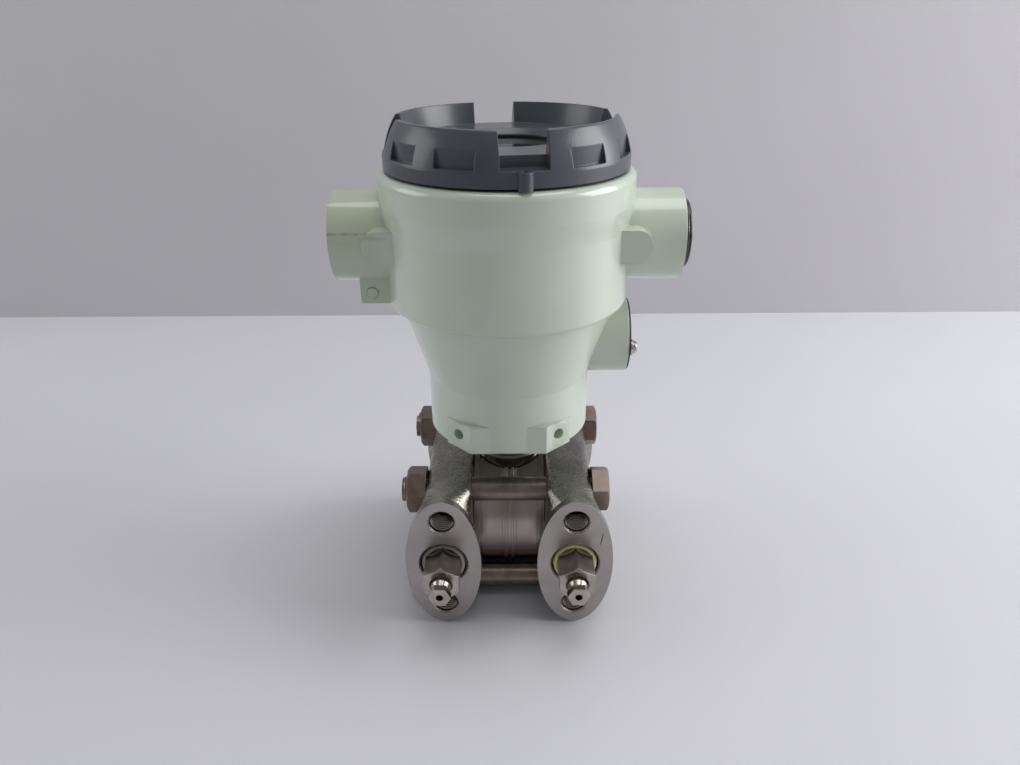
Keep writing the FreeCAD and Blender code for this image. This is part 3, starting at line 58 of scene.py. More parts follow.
def in_mm(lengths):
    """Lengths in millimetres, rounded for printing."""
    return [round(length / MM, 2) for length in lengths]


# %% [markdown]
# ## Places
# A place that the CAD holds is read from it and not typed again, so the two can't drift apart.
# The neck gives the axis of the housing, the vent plugs give the two ports, and the boxes of
# the housing and of a flange say how far each reaches. Two spacings of the holes are typed.

# %% Places taken from the nodes


def middle(node):
    """The middle of a node's box."""
    low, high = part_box(node)
    return (low + high) / 2


AXIS = middle("neck_tube")
PORTS = {side: middle(f"vent_plug_{side}") for side in ("left", "right")}
FLANGE_LOW, FLANGE_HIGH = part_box("process_flange_left")
HOUSING_LOW, HOUSING_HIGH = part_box("housing")
CONDUIT_Z = middle("conduit_plug").z
PORT_OUT = 27 * MM  # from the axis across to a port
TAP_RISE = 41.3 * MM / 2  # from a port up or down to its tapped holes
print("axis at", in_mm(AXIS[:2]), "ports at", in_mm(PORTS["left"]), in_mm(PORTS["right"]))

# %% [markdown]
# ## Camera
# The camera stands in front of the instrument and a little above its cover, tipped down, with
# a lens somewhat wider than normal. The near cover looks large and the flanges fall away. A
# constraint could aim it, but plain angles stay as they are whatever is added later.

# %% Set the camera
CAMERA_AT = (0.77 * MM, -286.3 * MM, 236.7 * MM)
CAMERA_TILT = math.radians(63.72)
CAMERA_TURN = math.radians(0.376)
CAMERA_ROLL = math.radians(-0.476)


def clear_choice():
    """Deselect every object, so that an operator acts only on what comes next."""
    bpy.ops.object.select_all(action="DESELECT")


clear_choice()
bpy.ops.object.camera_add(location=CAMERA_AT, rotation=(CAMERA_TILT, 0, CAMERA_TURN))
camera = bpy.context.object
camera.name = "bench_camera"
camera.rotation_euler.rotate_axis("Z", CAMERA_ROLL)
camera.data.sensor_width = 36
camera.data.lens = 26.93
camera.data.clip_start = 10 * MM
bpy.context.scene.camera = camera
print("camera tilt:", round(math.degrees(camera.rotation_euler.x), 2))

# %% [markdown]
# ## Writing materials as sums
# A material is a web of nodes. Joining them by hand is slow to read, so one small class wraps
# a node's output. Plain arithmetic on it adds Math nodes, and `add` makes any other node.

# %% A wire between nodes


class Wire:
    """One output of a material's node; arithmetic on it adds Math nodes."""

    def __init__(self, socket):
        self.socket = socket

    def add(self, kind, settings=(), inputs=(), output=0):
        """Add a node of this kind to the same material, and give back one of its outputs."""
        tree = self.socket.id_data
        node = tree.nodes.new(kind)
        for name, setting in dict(settings).items():
            setattr(node, name, setting)
        for name, given in dict(inputs).items():
            if isinstance(given, Wire):
                tree.links.new(given.socket, node.inputs[name])
            else:
                node.inputs[name].default_value = given
        return Wire(node.outputs[output])

    def math(self, operation, *values):
        """Add a Math node that does this operation on the values."""
        return self.add("ShaderNodeMath", {"operation": operation}, dict(enumerate(values)))

    def __add__(self, other):
        return self.math("ADD", self, other)

    def __sub__(self, other):
        return self.math("SUBTRACT", self, other)

    def __rsub__(self, other):
        return self.math("SUBTRACT", other, self)

    def __mul__(self, other):
        return self.math("MULTIPLY", self, other)

    def __truediv__(self, other):
        return self.math("DIVIDE", self, other)

    __radd__ = __add__
    __rmul__ = __mul__

    def axes(self):
        """The x, y and z of a vector as three wires."""
        node = self.add("ShaderNodeSeparateXYZ", (), {0: self}).socket.node
        return [Wire(output) for output in node.outputs]

    def size(self):
        """The value without its sign, which folds a pattern about zero."""
        return self.math("ABSOLUTE", self)

    def step(self, low, high, start=0.0, end=1.0):
        """A smooth change from start to end as the value goes from low to high."""
        settings = {"interpolation_type": "SMOOTHSTEP"}
        inputs = {0: self, 1: low, 2: high, 3: start, 4: end}
        return self.add("ShaderNodeMapRange", settings, inputs)

    def blend(self, first, second):
        """A colour between first and second, with this value as the share of second."""
        return self.add("ShaderNodeMix", {"data_type": "RGBA"}, {0: self, 6: first, 7: second}, 2)


print("a wire can:", [name for name in vars(Wire) if not name.startswith("_")])

# %% [markdown]
# ## Patterns and bumps
# Wear, grain and tool marks come from two random patterns. Noise gives soft blotches, and
# cells give specks with an edge. Both are drawn in the object itself, so nothing has to be
# unwrapped. A Bump node then tilts the shading as if the pattern stood up by a set height.

# %% Patterns and bumps


def noise(point, scale, detail, rough=0.5):
    """Soft random blotches; the scale is how many to the metre, and detail adds finer ones."""
    inputs = {"Vector": point, "Scale": scale, "Detail": detail, "Roughness": rough}
    return point.add("ShaderNodeTexNoise", (), inputs)


def cells(point, scale):
    """The distance from the middles of random cells, that many to the metre."""
    return point.add("ShaderNodeTexVoronoi", (), {"Vector": point, "Scale": scale})


def stretch(point, x, y, z):
    """The point with each axis scaled, which draws a pattern out along the small ones."""
    return point.add("ShaderNodeMapping", (), {"Vector": point, "Scale": (x, y, z)})


def bump(pattern, height, under=None):
    """A normal for a pattern of that height in millimetres, on top of another if given."""
    inputs = {"Height": pattern, "Distance": height * MM, "Strength": 1.0}
    if under:
        inputs["Normal"] = under
    return pattern.add("ShaderNodeBump", (), inputs)


print("patterns:", [pattern.__name__ for pattern in (noise, cells, stretch, bump)])

# %% [markdown]
# ## Starting and feeding a finish
# Each finish is one Principled shader. What is the same all over is set on the shader's own
# socket, and what changes over the surface is a wire that is linked to it. Both helpers name
# the sockets, so a finish reads as a list of what it sets.

# %% Helpers for finishes


def new_finish(name, **plain):
    """A material with its plain values set; gives it back with its point in the object."""
    material = bpy.data.materials.new(name)
    material.use_nodes = True
    shader = material.node_tree.nodes["Principled BSDF"]
    for socket, value in plain.items():
        shader.inputs[socket.replace("_", " ")].default_value = value
    place = material.node_tree.nodes.new("ShaderNodeTexCoord")
    return material, Wire(place.outputs["Object"])


def feed(material, **wires):
    """Link wires to the shader's sockets of those names, and give the material back."""
    tree = material.node_tree
    shader = tree.nodes["Principled BSDF"]
    for socket, wire in wires.items():
        tree.links.new(wire.socket, shader.inputs[socket.replace("_", " ")])
    print(material.name, "has", len(tree.nodes), "nodes")
    return material


def colour(red, green, blue):
    """A colour from its values on a screen, 0 to 255."""
    return tuple((((v / 255) + 0.055) / 1.055) ** 2.4 for v in (red, green, blue)) + (1.0,)


print("a mid grey of 128 is", round(colour(128, 128, 128)[0], 3), "as light")

# %% [markdown]
# ## Rounded edges in the light
# Real castings and turned parts have no perfectly sharp edges: each one catches a thin line of
# light. The Bevel node bends the shading near an edge by a set radius and leaves the mesh alone.
# Castings and thick paint are the roundest, and turned steel is the sharpest.

# %% Soft edges
EDGE = {"mint": 0.9, "slate": 0.7, "cast": 0.4, "bolt": 0.25, "vent": 0.22, "turned": 0.2, "small": 0.2}


def soft_edge(point, kind):
    """A normal that rounds every edge by this kind of finish's radius."""
    return point.add("ShaderNodeBevel", {"samples": 6}, {"Radius": EDGE[kind] * MM})


print("edges in mm:", EDGE)

# %% [markdown]
# ## Paint
# The housing wears a thick, pale green gloss paint. Sprayed paint levels out, but a faint
# orange peel stays, and it greys a little where hands and dust have been. Two layers of noise
# do this: a wide one for tone and a fine one for the peel.

# %% Mint paint
MINT_DEEP = colour(197, 209, 191)
MINT_PALE = colour(204, 216, 199)
mint, point = new_finish("mint_paint", Coat_Weight=0.9, Coat_Roughness=0.06)
x, _, z = point.axes()
tone = noise(point, scale=22, detail=3)
grime = noise(point, scale=160, detail=5, rough=0.65).step(0.6, 0.78)
paint = tone.step(0.35, 0.7).blend(MINT_DEEP, MINT_PALE)
print("mint paint lies between", [round(v, 3) for v in MINT_DEEP + MINT_PALE])

# %% [markdown]
# The left conduit boss has yellowed, and a strip of old tape has left a faint brown line
# along it. Both are masks: how far out along the boss, and how high on it.

# %% Yellowed boss
GRIME = colour(178, 189, 170)
YELLOWED = colour(186, 196, 168)
TAPE_BROWN = colour(150, 140, 96)
TAPE_HEIGHT = 4.8  # in millimetres above the middle of the boss


def inside(square, inner, outer):
    """From the square of a distance: 1 up to the inner one, fading to 0 at the outer one."""
    return square.step(inner**2, outer**2, 1.0, 0.0)


out_left = x.step(HOUSING_LOW.x + 14 * MM, HOUSING_LOW.x + 26 * MM, 1.0, 0.0)
off_tape = (z - CONDUIT_Z) / MM - TAPE_HEIGHT
patchy = noise(point, scale=260, detail=3).step(0.35, 0.6)
tape = inside(off_tape * off_tape, 0.2, 0.8) * out_left * patchy
paint = (out_left * 0.7).blend(paint, YELLOWED)
paint = (tape * 0.55).blend(paint, TAPE_BROWN)
peel = noise(point, scale=900, detail=1)
feed(
    mint,
    Base_Color=(grime * 0.22).blend(paint, GRIME),
    Roughness=tone * 0.1 + 0.26,
    Normal=bump(peel, 0.02, soft_edge(point, "mint")),
)

# %% [markdown]
# The cover is sprayed with a slate grey of less gloss, and its paint is fine-grained. Cells
# make that grain: noise would look like peel again, and a grain has an edge to each speck.

# %% Slate paint of the cover
slate, point = new_finish("slate_paint", Coat_Weight=0.3, Coat_Roughness=0.18)
grain = cells(point, scale=1500)
drift = noise(point, scale=40, detail=3)
feed(
    slate,
    Base_Color=drift.step(0.3, 0.75).blend(colour(64, 68, 75), colour(76, 80, 88)),
    Roughness=drift * 0.1 + 0.26,
    Normal=bump(grain, 0.028, soft_edge(point, "slate")),
)

# %% [markdown]
# ## Cast and milled stainless steel
# The flange bodies are cast and blasted, so they glitter from many tiny pits. Their oval faces
# are milled flat, with fine straight marks. One finish serves both: a mask that is 1 on the
# oval faces mixes the two, and it comes from how far a point lies along the flange.

# %% Cast flanges with milled faces
cast, point = new_finish("cast_stainless", Metallic=1.0)
x, y, _ = point.axes()
depth = y - AXIS.y
HALF_LONG = (FLANGE_HIGH.y - FLANGE_LOW.y) / 2


def near_face(deep, shallow):
    """1 close to both oval faces, fading to 0 between two depths below them, in millimetres."""
    far = HALF_LONG - deep * MM
    near = HALF_LONG - shallow * MM
    return (depth * depth).step(far**2, near**2)


face = near_face(0.1, 0.05)
pits = noise(point, scale=700, detail=4, rough=0.62)
marks = noise(stretch(point, 60, 1, 2600), scale=1, detail=2)
stain = noise(point, scale=60, detail=4, rough=0.6).step(0.3, 0.8)
cast_tone = stain.blend((0.27, 0.26, 0.235, 1), (0.45, 0.43, 0.395, 1))
face_tone = stain.blend((0.39, 0.355, 0.34, 1), (0.48, 0.44, 0.42, 1))
print("a flange reaches", in_mm([HALF_LONG]), "each way from the axis")

# %% [markdown]
# The metal is painted darker inside the holes. This is painted shade, where little light reaches.
# The holes lie alike about both ports, so taking away the sign of a distance folds them onto one
# another, and one sum then serves them all. Other depths keep the painted shade out of the rims
# and off the outer sides.

# %% Painted shade in the holes
# The dark colour used for painted shade in the holes and thread roots, and for the real scratch.
HOLE_SHADE_AND_SCRATCH = (0.05, 0.042, 0.036, 1)
TAP_SHADE = 0.75
PORT_SHADE = 0.5


def from_port(point):
    """How far across and how far up from the nearer port's axis a point is, in millimetres."""
    x, _, z = point.axes()
    across = (x - AXIS.x).size() / MM - PORT_OUT / MM
    rise = (z - PORTS["right"].z) / MM
    return across, rise


def from_tap(point):
    """The square of how far a point is from the nearest tapped hole's axis, in millimetres."""
    across, rise = from_port(point)
    off_tap = rise.size() - TAP_RISE / MM
    return across * across + off_tap * off_tap


across, rise = from_port(point)
tap_wall_shade = inside(from_tap(point), 5.05, 5.3) * near_face(15, 14)
port_wall_shade = inside(across * across + rise * rise, 9.65, 9.75) * near_face(4.6, 4.3)
# Painted shade: the walls of the tapped holes and of the vent recesses are darkened where light hardly
# reaches.
painted_hole_shade = (tap_wall_shade * TAP_SHADE + port_wall_shade * PORT_SHADE) * (1 - near_face(0.9, 0.5))
print("tapped holes are", in_mm([TAP_RISE]), "above and below each port")

# %% [markdown]
# The right-hand oval carries a short dark scratch beside its upper hole. A scratch is a line:
# the sideways distance from it gives its width, and the height gives its two ends. It leans,
# so that distance grows with the height.

# %% Scratch on the right-hand oval
SCRATCH_ASIDE = 8.25
SCRATCH_LEAN = 0.172
aside = (x - PORTS["right"].x) / MM - rise * SCRATCH_LEAN - SCRATCH_ASIDE
lower_end = rise.step(9.4, 10.2)
upper_end = rise.step(14.8, 15.6, 1.0, 0.0)
in_front = depth.step(-1 * MM, 1 * MM, 1.0, 0.0)
scratch = inside(aside * aside, 0.1225, 0.2236) * lower_end * upper_end * face * in_front
print("scratch is", SCRATCH_ASIDE, "mm beside the port's axis")

# %% [markdown]
# Now the parts come together. The pits are deep and rough, the milling marks are shallow, and
# the scratch cuts in. One Bump node takes the sum, because the masks keep them apart.

# %% Join the cast and the milled finish
relief = (1 - face) * pits * 4.0 + face * marks * 0.1 - scratch
clean_metal = face.blend(cast_tone, face_tone)
feed(
    cast,
    # The holes take painted shade here, and the scratch is a real dark mark.
    Base_Color=scratch.blend(painted_hole_shade.blend(clean_metal, HOLE_SHADE_AND_SCRATCH), HOLE_SHADE_AND_SCRATCH),
    Roughness=(1 - face) * (pits * 0.3 + 0.14) + face * (marks * 0.12 + 0.3),
    Normal=bump(relief, 0.09, soft_edge(point, "cast")),
)

# %% [markdown]
# A cut thread is rubbed bright on its crests, and its roots take the painted shade of the hole,
# dark where light hardly reaches. The crests are nearest to the hole's axis, so the distance that put
# painted shade in the holes lights them here.

# %% Tapped threads
tapped, point = new_finish("tapped_steel", Metallic=1.0)
crests = inside(from_tap(point), 4.4, 4.8)
wear = noise(point, scale=900, detail=2)
feed(
    tapped,
    # Painted shade: the thread's roots take the dark colour, and its crests a lighter one.
    Base_Color=crests.blend(HOLE_SHADE_AND_SCRATCH, (0.36, 0.31, 0.28, 1)),
    Roughness=wear * 0.15 + 0.22,
    Normal=bump(wear, 0.01),
)

# %% [markdown]
# ## Turned stainless steel
# The capsule is turned on a lathe, so fine marks run round its axis, which lies along X. Noise
# squeezed hard along X and left long on the other two axes gives such rings, with nothing to
# wrap and no seam. A second, wider band tints it as heat and handling do.

# %% Turned capsule
turned, point = new_finish("turned_stainless", Metallic=1.0)
rings = noise(stretch(point, 5000, 20, 20), scale=1, detail=2)
bands = noise(stretch(point, 90, 30, 30), scale=1, detail=3)
feed(
    turned,
    Base_Color=bands.step(0.3, 0.7).blend((0.34, 0.285, 0.26, 1), (0.43, 0.365, 0.34, 1)),
    Roughness=rings * 0.1 + 0.16,
    Normal=bump(rings, 0.003, soft_edge(point, "turned")),
)

# %% [markdown]
# ## Bolts and vents
# The flange bolts and nuts are a brown, oiled steel that has worn unevenly. The vent plugs and
# their needles are a brighter stainless steel. Both carry fine turning marks round their own
# axis, X for the bolts and Y for the vents, which is the same noise squeezed two ways.

# %% Bolts and nuts
bolt, point = new_finish("bolt_steel", Metallic=1.0)
wear = noise(point, scale=220, detail=4, rough=0.6)
marks = noise(stretch(point, 900, 300, 300), scale=1, detail=2)
feed(
    bolt,
    Base_Color=wear.step(0.3, 0.7).blend((0.2, 0.155, 0.13, 1), (0.28, 0.225, 0.195, 1)),
    Roughness=wear * 0.25 + 0.22,
    Normal=bump(marks, 0.012, soft_edge(point, "bolt")),
)

# %% Vent plugs and needles
vent, point = new_finish("vent_steel", Metallic=1.0)
wear = noise(point, scale=300, detail=4, rough=0.6)
marks = noise(stretch(point, 300, 1400, 300), scale=1, detail=2)
feed(
    vent,
    Base_Color=wear.step(0.35, 0.75).blend((0.4, 0.36, 0.32, 1), (0.52, 0.48, 0.435, 1)),
    Roughness=wear * 0.14 + 0.16,
    Normal=bump(marks, 0.01, soft_edge(point, "vent")),
)

# %% [markdown]
# ## Small finishes
# The rest share one recipe: a colour that drifts a little, a roughness that drifts with it and
# a fine grain. A plain value would look like plastic from a mould that never saw a hand. One
# table holds what differs, so a new finish is one more row.

# %% One recipe for the small finishes


def simple_finish(name, dark, light, rough, grain, height, plain):
    """A finish between two colours, with a grain of that many specks to the metre."""
    material, point = new_finish(name, **plain)
    drift = noise(point, scale=grain / 6, detail=3)
    fine = noise(point, scale=grain, detail=2)
    return feed(
        material,
        Base_Color=drift.step(0.3, 0.7).blend(dark, light),
        Roughness=drift * 0.12 + rough,
        Normal=bump(fine, height, soft_edge(point, "small")),
    )


print("made the recipe:", simple_finish.__name__)

# %% The table of small finishes
FINISHES = {
    "mint_paint": mint,
    "slate_paint": slate,
    "cast_stainless": cast,
    "turned_stainless": turned,
    "bolt_steel": bolt,
    "vent_steel": vent,
    "tapped_steel": tapped,
}
METAL = {"Metallic": 1.0}
DULL_METAL = {"Metallic": 0.8}
LACQUER = {"Coat_Weight": 0.4, "Coat_Roughness": 0.08}

# Each row: name, dark and light colour, roughness, grain, its height in millimetres, the rest.
for row in (
    ("oiled_steel", (0.1, 0.078, 0.065, 1), (0.26, 0.21, 0.18, 1), 0.2, 1500, 0.004, METAL),
    ("foil_steel", (0.6, 0.58, 0.55, 1), (0.7, 0.68, 0.65, 1), 0.12, 900, 0.004, METAL),
    ("plate_steel", (0.09, 0.085, 0.08, 1), (0.15, 0.14, 0.13, 1), 0.35, 900, 0.01, DULL_METAL),
    ("screw_steel", (0.5, 0.49, 0.46, 1), (0.62, 0.6, 0.57, 1), 0.18, 900, 0.006, METAL),
    ("black_rubber", (0.014, 0.014, 0.015, 1), (0.024, 0.024, 0.025, 1), 0.5, 1200, 0.01, {}),
    ("yellow_seal", colour(205, 200, 140), colour(222, 218, 165), 0.4, 900, 0.01, {}),
    ("white_seal", colour(128, 126, 118), colour(158, 156, 148), 0.35, 900, 0.01, {}),
    ("black_plastic", (0.007, 0.007, 0.008, 1), (0.013, 0.013, 0.014, 1), 0.14, 700, 0.006, LACQUER),
    ("dark_plastic", (0.03, 0.03, 0.033, 1), (0.045, 0.045, 0.05, 1), 0.45, 1300, 0.012, {}),
    ("screen", colour(140, 150, 134), colour(152, 162, 146), 0.15, 600, 0.002, {}),
    ("board_green", (0.02, 0.13, 0.06, 1), (0.03, 0.17, 0.085, 1), 0.3, 700, 0.008, {}),
    ("can_metal", (0.55, 0.55, 0.55, 1), (0.66, 0.66, 0.65, 1), 0.25, 900, 0.005, METAL),
    ("brass", (0.6, 0.44, 0.18, 1), (0.72, 0.55, 0.26, 1), 0.22, 900, 0.006, METAL),
):
    FINISHES[row[0]] = simple_finish(*row)

# %% [markdown]
# ## Window glass
# The window is dark toughened glass. Full transmission would need many bounces to show the little that
# lies behind it, so it is a dark sheet that lets under a fifth of the light through. Its near-black
# colour is partly the glass's own tint and partly painted shade for the dim inside.

# %% Glass
glass, point = new_finish("window_glass", Metallic=0.0, Specular_IOR_Level=0.25)
haze = noise(point, scale=90, detail=3)
FINISHES["window_glass"] = feed(
    glass,
    # Near-black colour: partly the glass's tint, partly painted shade for the dim inside.
    Base_Color=haze.blend((0.006, 0.007, 0.009, 1), (0.012, 0.014, 0.017, 1)),
    Roughness=haze * 0.05 + 0.04,
    Alpha=haze * 0.06 + 0.79,
)

# %% [markdown]
# ## Finishes onto the nodes
# Every node carries slots named for its finishes, so each slot only has to be swapped for the
# finish of that name. Then faces that meet at a small angle are shaded as one curve. The
# housing takes a smaller limit, because its base meets the front facet at a shallow angle.

# %% Put each finish on its nodes
SMOOTH_LIMIT = math.radians(32)
HOUSING_LIMIT = math.radians(14)


def choose(piece):
    """Select one object alone, and make it the active one."""
    clear_choice()
    piece.select_set(True)
    bpy.context.view_layer.objects.active = piece


for name, node in NODES.items():
    for slot in node.material_slots:
        slot.material = FINISHES[slot.material.name.split(".")[0]]
    choose(node)
    bpy.ops.object.shade_smooth_by_angle(angle=HOUSING_LIMIT if name == "housing" else SMOOTH_LIMIT)
for row in frame["record"]["materials"]:
    print(row["slot"], "->", FINISHES[row["slot"]].name)

# %% [markdown]
# ## Making and finishing new pieces
# The solids leave out the fine worked details. Each of those is made here from a primitive,
# shaped in edit mode, and then given a finish, a body that carries it and a material slot. Its
# place goes into its mesh, so that the object itself stays at the origin.

# %% Helpers for new pieces


def start_piece(name):
    """Name the primitive that was just added, and give it back."""
    piece = bpy.context.object
    piece.name = name
    piece.data.name = name
    return piece


def settle(piece):
    """Apply the modifiers, and put the object's place, turn and size into its mesh."""
    choose(piece)
    for modifier in list(piece.modifiers):
        bpy.ops.object.modifier_apply(modifier=modifier.name)
    bpy.ops.object.transform_apply(location=True, rotation=True, scale=True)


def dress(piece, body, slot, finish=None):
    """Give a settled piece its finish, its shading and the body that carries it."""
    piece.data.materials.clear()
    piece.data.materials.append(FINISHES[finish or slot])
    choose(piece)
    bpy.ops.object.shade_smooth_by_angle(angle=SMOOTH_LIMIT)
    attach(piece, body)
    print(piece.name, "rides on", body, "with", len(piece.data.polygons), "faces")


print("new pieces shade as one curve below", round(math.degrees(SMOOTH_LIMIT)), "degrees")

# %% [markdown]
# ## Screw threads
# The holes in the solids are smooth, because a real thread is slow to compute in CAD. Here a
# thread is a triangle beside an axis, and a Screw modifier sweeps it round and along. The sweep
# leaves two open ends, which are filled. It is made once for each size, and then copied.

# %% A ridge's section
BASE_SHARE = 0.94  # of the pitch that the foot of a ridge takes up
QUARTER = math.radians(90)
ORIGIN = (0, 0, 0)


def ridge_section(name, root, crest, pitch):
    """A triangle beside the Z axis, with its foot at the root radius and its tip at the crest."""
    outward = crest > root
    # An even triangle's middle is two thirds of its height from its tip.
    arm = abs(crest - root) / 1.5
    tall = pitch * BASE_SHARE / math.sqrt(3)
    clear_choice()
    bpy.ops.mesh.primitive_circle_add(vertices=3, radius=1.0)
    section = start_piece(name)
    bpy.ops.object.mode_set(mode="EDIT")
    bpy.ops.mesh.select_all(action="SELECT")
    point_out = QUARTER if outward else -QUARTER
    bpy.ops.transform.rotate(value=point_out, orient_axis="Z", center_override=ORIGIN)
    bpy.ops.transform.rotate(value=QUARTER, orient_axis="X", center_override=ORIGIN)
    bpy.ops.transform.resize(value=(arm, 1, tall), center_override=ORIGIN)
    bpy.ops.transform.translate(value=(crest - arm if outward else crest + arm, 0, tall))
    bpy.ops.object.mode_set(mode="OBJECT")
    return section


print("a ridge's foot takes up", BASE_SHARE, "of its pitch")

# %% Sweep the section into a thread
TURN_STEPS = 24


def thread(name, root, crest, pitch, turns):
    """A closed helical ridge along Z, from its root radius to its crest radius."""
    ridge = ridge_section(name, root, crest, pitch)
    sweep = ridge.modifiers.new("sweep", "SCREW")
    sweep.screw_offset = pitch
    sweep.iterations = turns
    sweep.steps = TURN_STEPS
    sweep.render_steps = TURN_STEPS
    bpy.ops.object.modifier_apply(modifier="sweep")
    bpy.ops.object.mode_set(mode="EDIT")
    bpy.ops.mesh.select_all(action="DESELECT")
    bpy.ops.mesh.select_non_manifold()
    bpy.ops.mesh.fill_holes(sides=0)
    bpy.ops.mesh.select_all(action="SELECT")
    bpy.ops.mesh.normals_make_consistent(inside=False)
    bpy.ops.object.mode_set(mode="OBJECT")
    print(name, "has", len(ridge.data.polygons), "faces")
    return ridge


print("one turn is swept in", TURN_STEPS, "steps")

# %% [markdown]
# Each hole gets a copy of its ridge. A linked copy would share one mesh, and its place could
# not go into the mesh, so each copy has a mesh of its own. The pattern is deleted at the end.

# %% Copying a pattern


def copy_piece(piece, name, location, rotation):
    """A copy with a mesh of its own, moved and turned."""
    choose(piece)
    bpy.ops.object.duplicate(linked=False)
    twin = start_piece(name)
    twin.location = location
    twin.rotation_euler = rotation
    settle(twin)
    return twin


def discard(piece):
    """Delete a pattern once its copies are made."""
    choose(piece)
    bpy.ops.object.delete()


print("made the helpers:", copy_piece.__name__, discard.__name__)

# %% Threads in the tapped holes of the oval faces
TAP_START = 0.9 * MM  # below the oval face
front_tap = thread("tapped_thread", root=5.0 * MM, crest=4.3 * MM, pitch=1.27 * MM, turns=8)
rear_tap = thread("rear_tapped_thread", root=5.2 * MM, crest=4.5 * MM, pitch=1.27 * MM, turns=8)
ENDS = (
    ("front", front_tap, FLANGE_LOW.y + TAP_START, -QUARTER),
    ("rear", rear_tap, FLANGE_HIGH.y - TAP_START, QUARTER),
)
for side, port in PORTS.items():
    for level, rise in (("low", -TAP_RISE), ("high", TAP_RISE)):
        for end, ridge, along, turn in ENDS:
            place = (port.x, along, port.z + rise)
            twin = copy_piece(ridge, f"{end}_thread_{side}_{level}", place, (turn, 0, 0))
            dress(twin, "meter_body", "vent_steel", "tapped_steel")
discard(front_tap)
discard(rear_tap)

# %% [markdown]
# The open conduit boss and the two rear process ports are threaded too, with wider ridges.
# They are the same pattern with other radii, so only the numbers change. The boss is painted
# inside, and the ports are oily.

# %% Threads in the larger holes
ENTRY_START = 1.1 * MM  # inside the end of the boss
PORT_START = 4.9 * MM  # below the oval face
entry = thread("conduit_thread", root=10.25 * MM, crest=9.45 * MM, pitch=1.5 * MM, turns=13)
entry.location = (HOUSING_LOW.x + ENTRY_START, AXIS.y, CONDUIT_Z)
entry.rotation_euler = (0, QUARTER, 0)
settle(entry)
dress(entry, "housing_body", "mint_paint")
port_ridge = thread("port_thread", root=5.75 * MM, crest=5.05 * MM, pitch=1.41 * MM, turns=7)
for side, port in PORTS.items():
    place = (port.x, FLANGE_HIGH.y - PORT_START, port.z)
    twin = copy_piece(port_ridge, f"port_thread_{side}", place, (QUARTER, 0, 0))
    dress(twin, "meter_body", "vent_steel", "oiled_steel")
discard(port_ridge)

# %% [markdown]
# The far ends of the flange bolts carry an outward thread where they leave their nuts. The
# same ridge does this with its crest further out than its root. The nuts' box gives the four
# places, since each corner bolt is half a hexagon in from it.

# %% Bolt end threads
NUT_LOW, NUT_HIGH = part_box("flange_nuts")
HEX_HALF = 17 * MM / 2
BOLT_START = 2.0 * MM  # out from the nuts
bolt_ridge = thread("bolt_thread", root=4.9 * MM, crest=5.25 * MM, pitch=1.2 * MM, turns=1)
for end, along in (("front", NUT_LOW.y + HEX_HALF), ("rear", NUT_HIGH.y - HEX_HALF)):
    for level, height in (("low", NUT_LOW.z + HEX_HALF), ("high", NUT_HIGH.z - HEX_HALF)):
        place = (NUT_LOW.x - BOLT_START, along, height)
        twin = copy_piece(bolt_ridge, f"bolt_thread_{end}_{level}", place, (0, QUARTER, 0))
        dress(twin, "meter_body", "bolt_steel")
discard(bolt_ridge)

# %% [markdown]
# ## Weld bead
# The neck stands in a collar and is welded to it all round. A careful weld of this size is an
# even, rounded bead, so it is a ring of eight-sided section that is fattened to meet both
# parts, and then subdivided once, which rounds the section without many faces to start with.

# %% Fattening a skin


def fatten(piece, height):
    """Push the whole skin outwards by that height, or inwards if it is below zero."""
    choose(piece)
    bpy.ops.object.mode_set(mode="EDIT")
    bpy.ops.mesh.select_all(action="SELECT")
    bpy.ops.transform.shrink_fatten(value=height)
    bpy.ops.object.mode_set(mode="OBJECT")


print("made the helper:", fatten.__name__)

# %% Bead where the neck meets its collar
COLLAR_TOP = 62.3 * MM
BEAD_LIFT = 0.2 * MM
clear_choice()
bpy.ops.mesh.primitive_torus_add(
    location=(AXIS.x, AXIS.y, COLLAR_TOP + BEAD_LIFT),
    major_radius=12.1 * MM,
    minor_radius=0.75 * MM,
    major_segments=108,
    minor_segments=8,
)
bead = start_piece("neck_weld_bead")
fatten(bead, 0.22 * MM)
rounding = bead.modifiers.new("rounding", "SUBSURF")
rounding.levels = 1
rounding.render_levels = 1
settle(bead)
dress(bead, "meter_body", "turned_stainless")

# %% [markdown]
# ## Seal rings of the vents
# The soft rings under the vent plugs are squeezed out of their recess. Each starts as a torus,
# is drawn out along its axis, tipped a little and swollen, so that its lower edge comes about
# 1 mm out of the oval face while its upper edge stays inside. It replaces the plain ring.

# %% Squeezed seal rings
RING_DEPTH = 1.7 * MM  # of its middle below the oval face
RING_DRAWN = 1.9
RING_TIP = math.radians(6)
for side, slot in (("left", "white_seal"), ("right", "yellow_seal")):
    port = PORTS[side]
    ring_middle = (port.x, FLANGE_LOW.y + RING_DEPTH, port.z)
    clear_choice()
    bpy.ops.mesh.primitive_torus_add(
        location=ring_middle,
        rotation=(QUARTER, 0, 0),
        major_radius=7.9 * MM,
        minor_radius=1.05 * MM,
        major_segments=72,
        minor_segments=14,
    )
    ring = start_piece(f"vent_ring_{side}")
    settle(ring)
    bpy.ops.object.mode_set(mode="EDIT")
    bpy.ops.mesh.select_all(action="SELECT")
    bpy.ops.transform.resize(value=(1, RING_DRAWN, 1), center_override=ring_middle)
    bpy.ops.transform.rotate(value=RING_TIP, orient_axis="X", center_override=ring_middle)
    bpy.ops.object.mode_set(mode="OBJECT")
    fatten(ring, 0.05 * MM)
    dress(ring, "meter_body", slot)
    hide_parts(f"vent_seal_{side}")
    front = min(corner.co.y for corner in ring.data.vertices)
    print(ring.name, "stands out of the oval face by", in_mm([FLANGE_LOW.y - front]))

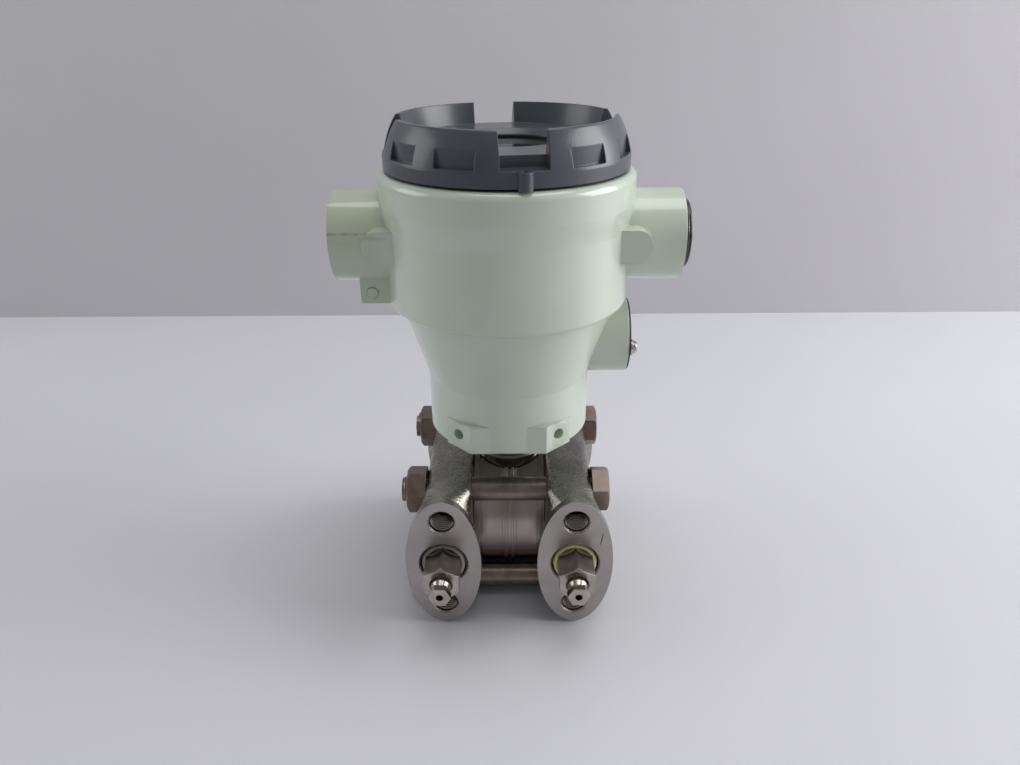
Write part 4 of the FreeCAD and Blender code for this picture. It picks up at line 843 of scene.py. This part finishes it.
# %% [markdown]
# ## Rim of the conduit plug
# The black plug has a full, round rim that a hand can hold. It is a smooth ring set over the
# step of the plug's head, thinned a little to sit just inside its crown, and it turns with the
# plug because it rides on the plug's body.

# %% Rim of the plug
RIM_OUT = 2.05 * MM  # from the end of the boss
clear_choice()
bpy.ops.mesh.primitive_torus_add(
    location=(HOUSING_HIGH.x + RIM_OUT, AXIS.y, CONDUIT_Z),
    rotation=(0, QUARTER, 0),
    major_radius=12.55 * MM,
    minor_radius=1.1 * MM,
    major_segments=144,
    minor_segments=16,
)
rim = start_piece("conduit_plug_rim")
settle(rim)
fatten(rim, -0.25 * MM)
dress(rim, "plug_body", "black_plastic")

# %% [markdown]
# ## Floor and backdrop
# A pale sheet lies under the instrument and another hangs behind it. A faint mottle stops them
# looking like empty space.

# %% Lay the floor and hang the backdrop


def plain_sheet(name, location, rotation, dark, light, rough):
    """A flat stage sheet, three metres square, with a faint mottle."""
    clear_choice()
    bpy.ops.mesh.primitive_plane_add(size=3.0, location=location, rotation=rotation)
    sheet = bpy.context.object
    sheet.name = name
    material, point = new_finish(name, Roughness=rough)
    feed(material, Base_Color=noise(point, scale=6, detail=2).blend(dark, light))
    sheet.data.materials.append(material)


plain_sheet(
    "floor",
    location=(0, 0.2, -0.2 * MM),
    rotation=(0, 0, 0),
    dark=colour(206, 206, 212),
    light=colour(214, 214, 219),
    rough=0.4,
)
plain_sheet(
    "backdrop",
    location=(0, 0.325, 1.4),
    rotation=(QUARTER, 0, 0),
    dark=colour(196, 194, 198),
    light=colour(204, 202, 206),
    rough=0.7,
)

# %% [markdown]
# ## Light
# The room is dim, and most of the light comes in from the right, as from a large window. A
# weaker one on the left opens the shadows, and a third hangs overhead for the cover and the
# floor. Large lamps give soft shadows and the long, soft highlights that show round metal.

# %% Dim room
ROOM_TINT = (0.96, 0.97, 1.0, 1)
ROOM_LEVEL = 0.27
world = bpy.data.worlds.new("room")
bpy.context.scene.world = world
world.use_nodes = True
background = world.node_tree.nodes["Background"]
background.inputs["Color"].default_value = ROOM_TINT
background.inputs["Strength"].default_value = ROOM_LEVEL
print("room light:", ROOM_LEVEL)

# %% Lamps
AIM = (0, 0, 0.12)
AIM_LOW = (0, 0, 0.1)


def soft_light(name, size, watts, location, target):
    """A square lamp that faces a target point."""
    bpy.ops.object.light_add(type="AREA", location=location)
    lamp = bpy.context.object
    lamp.name = name
    lamp.data.size = size
    lamp.data.energy = watts
    lamp.rotation_euler = (Vector(target) - Vector(location)).to_track_quat("-Z", "Y").to_euler()
    print(name, "gives", watts, "W from", size, "m across")


soft_light("window_right", size=0.8, watts=10.5, location=(1.0, 0.05, 0.5), target=AIM)
soft_light("window_left", size=0.6, watts=2.4, location=(-1.0, 0.05, 0.5), target=AIM)
soft_light("overhead", size=0.7, watts=4, location=(0.1, 0.1, 1.1), target=AIM_LOW)
bpy.context.scene.view_settings.view_transform = "Standard"

# %% [markdown]
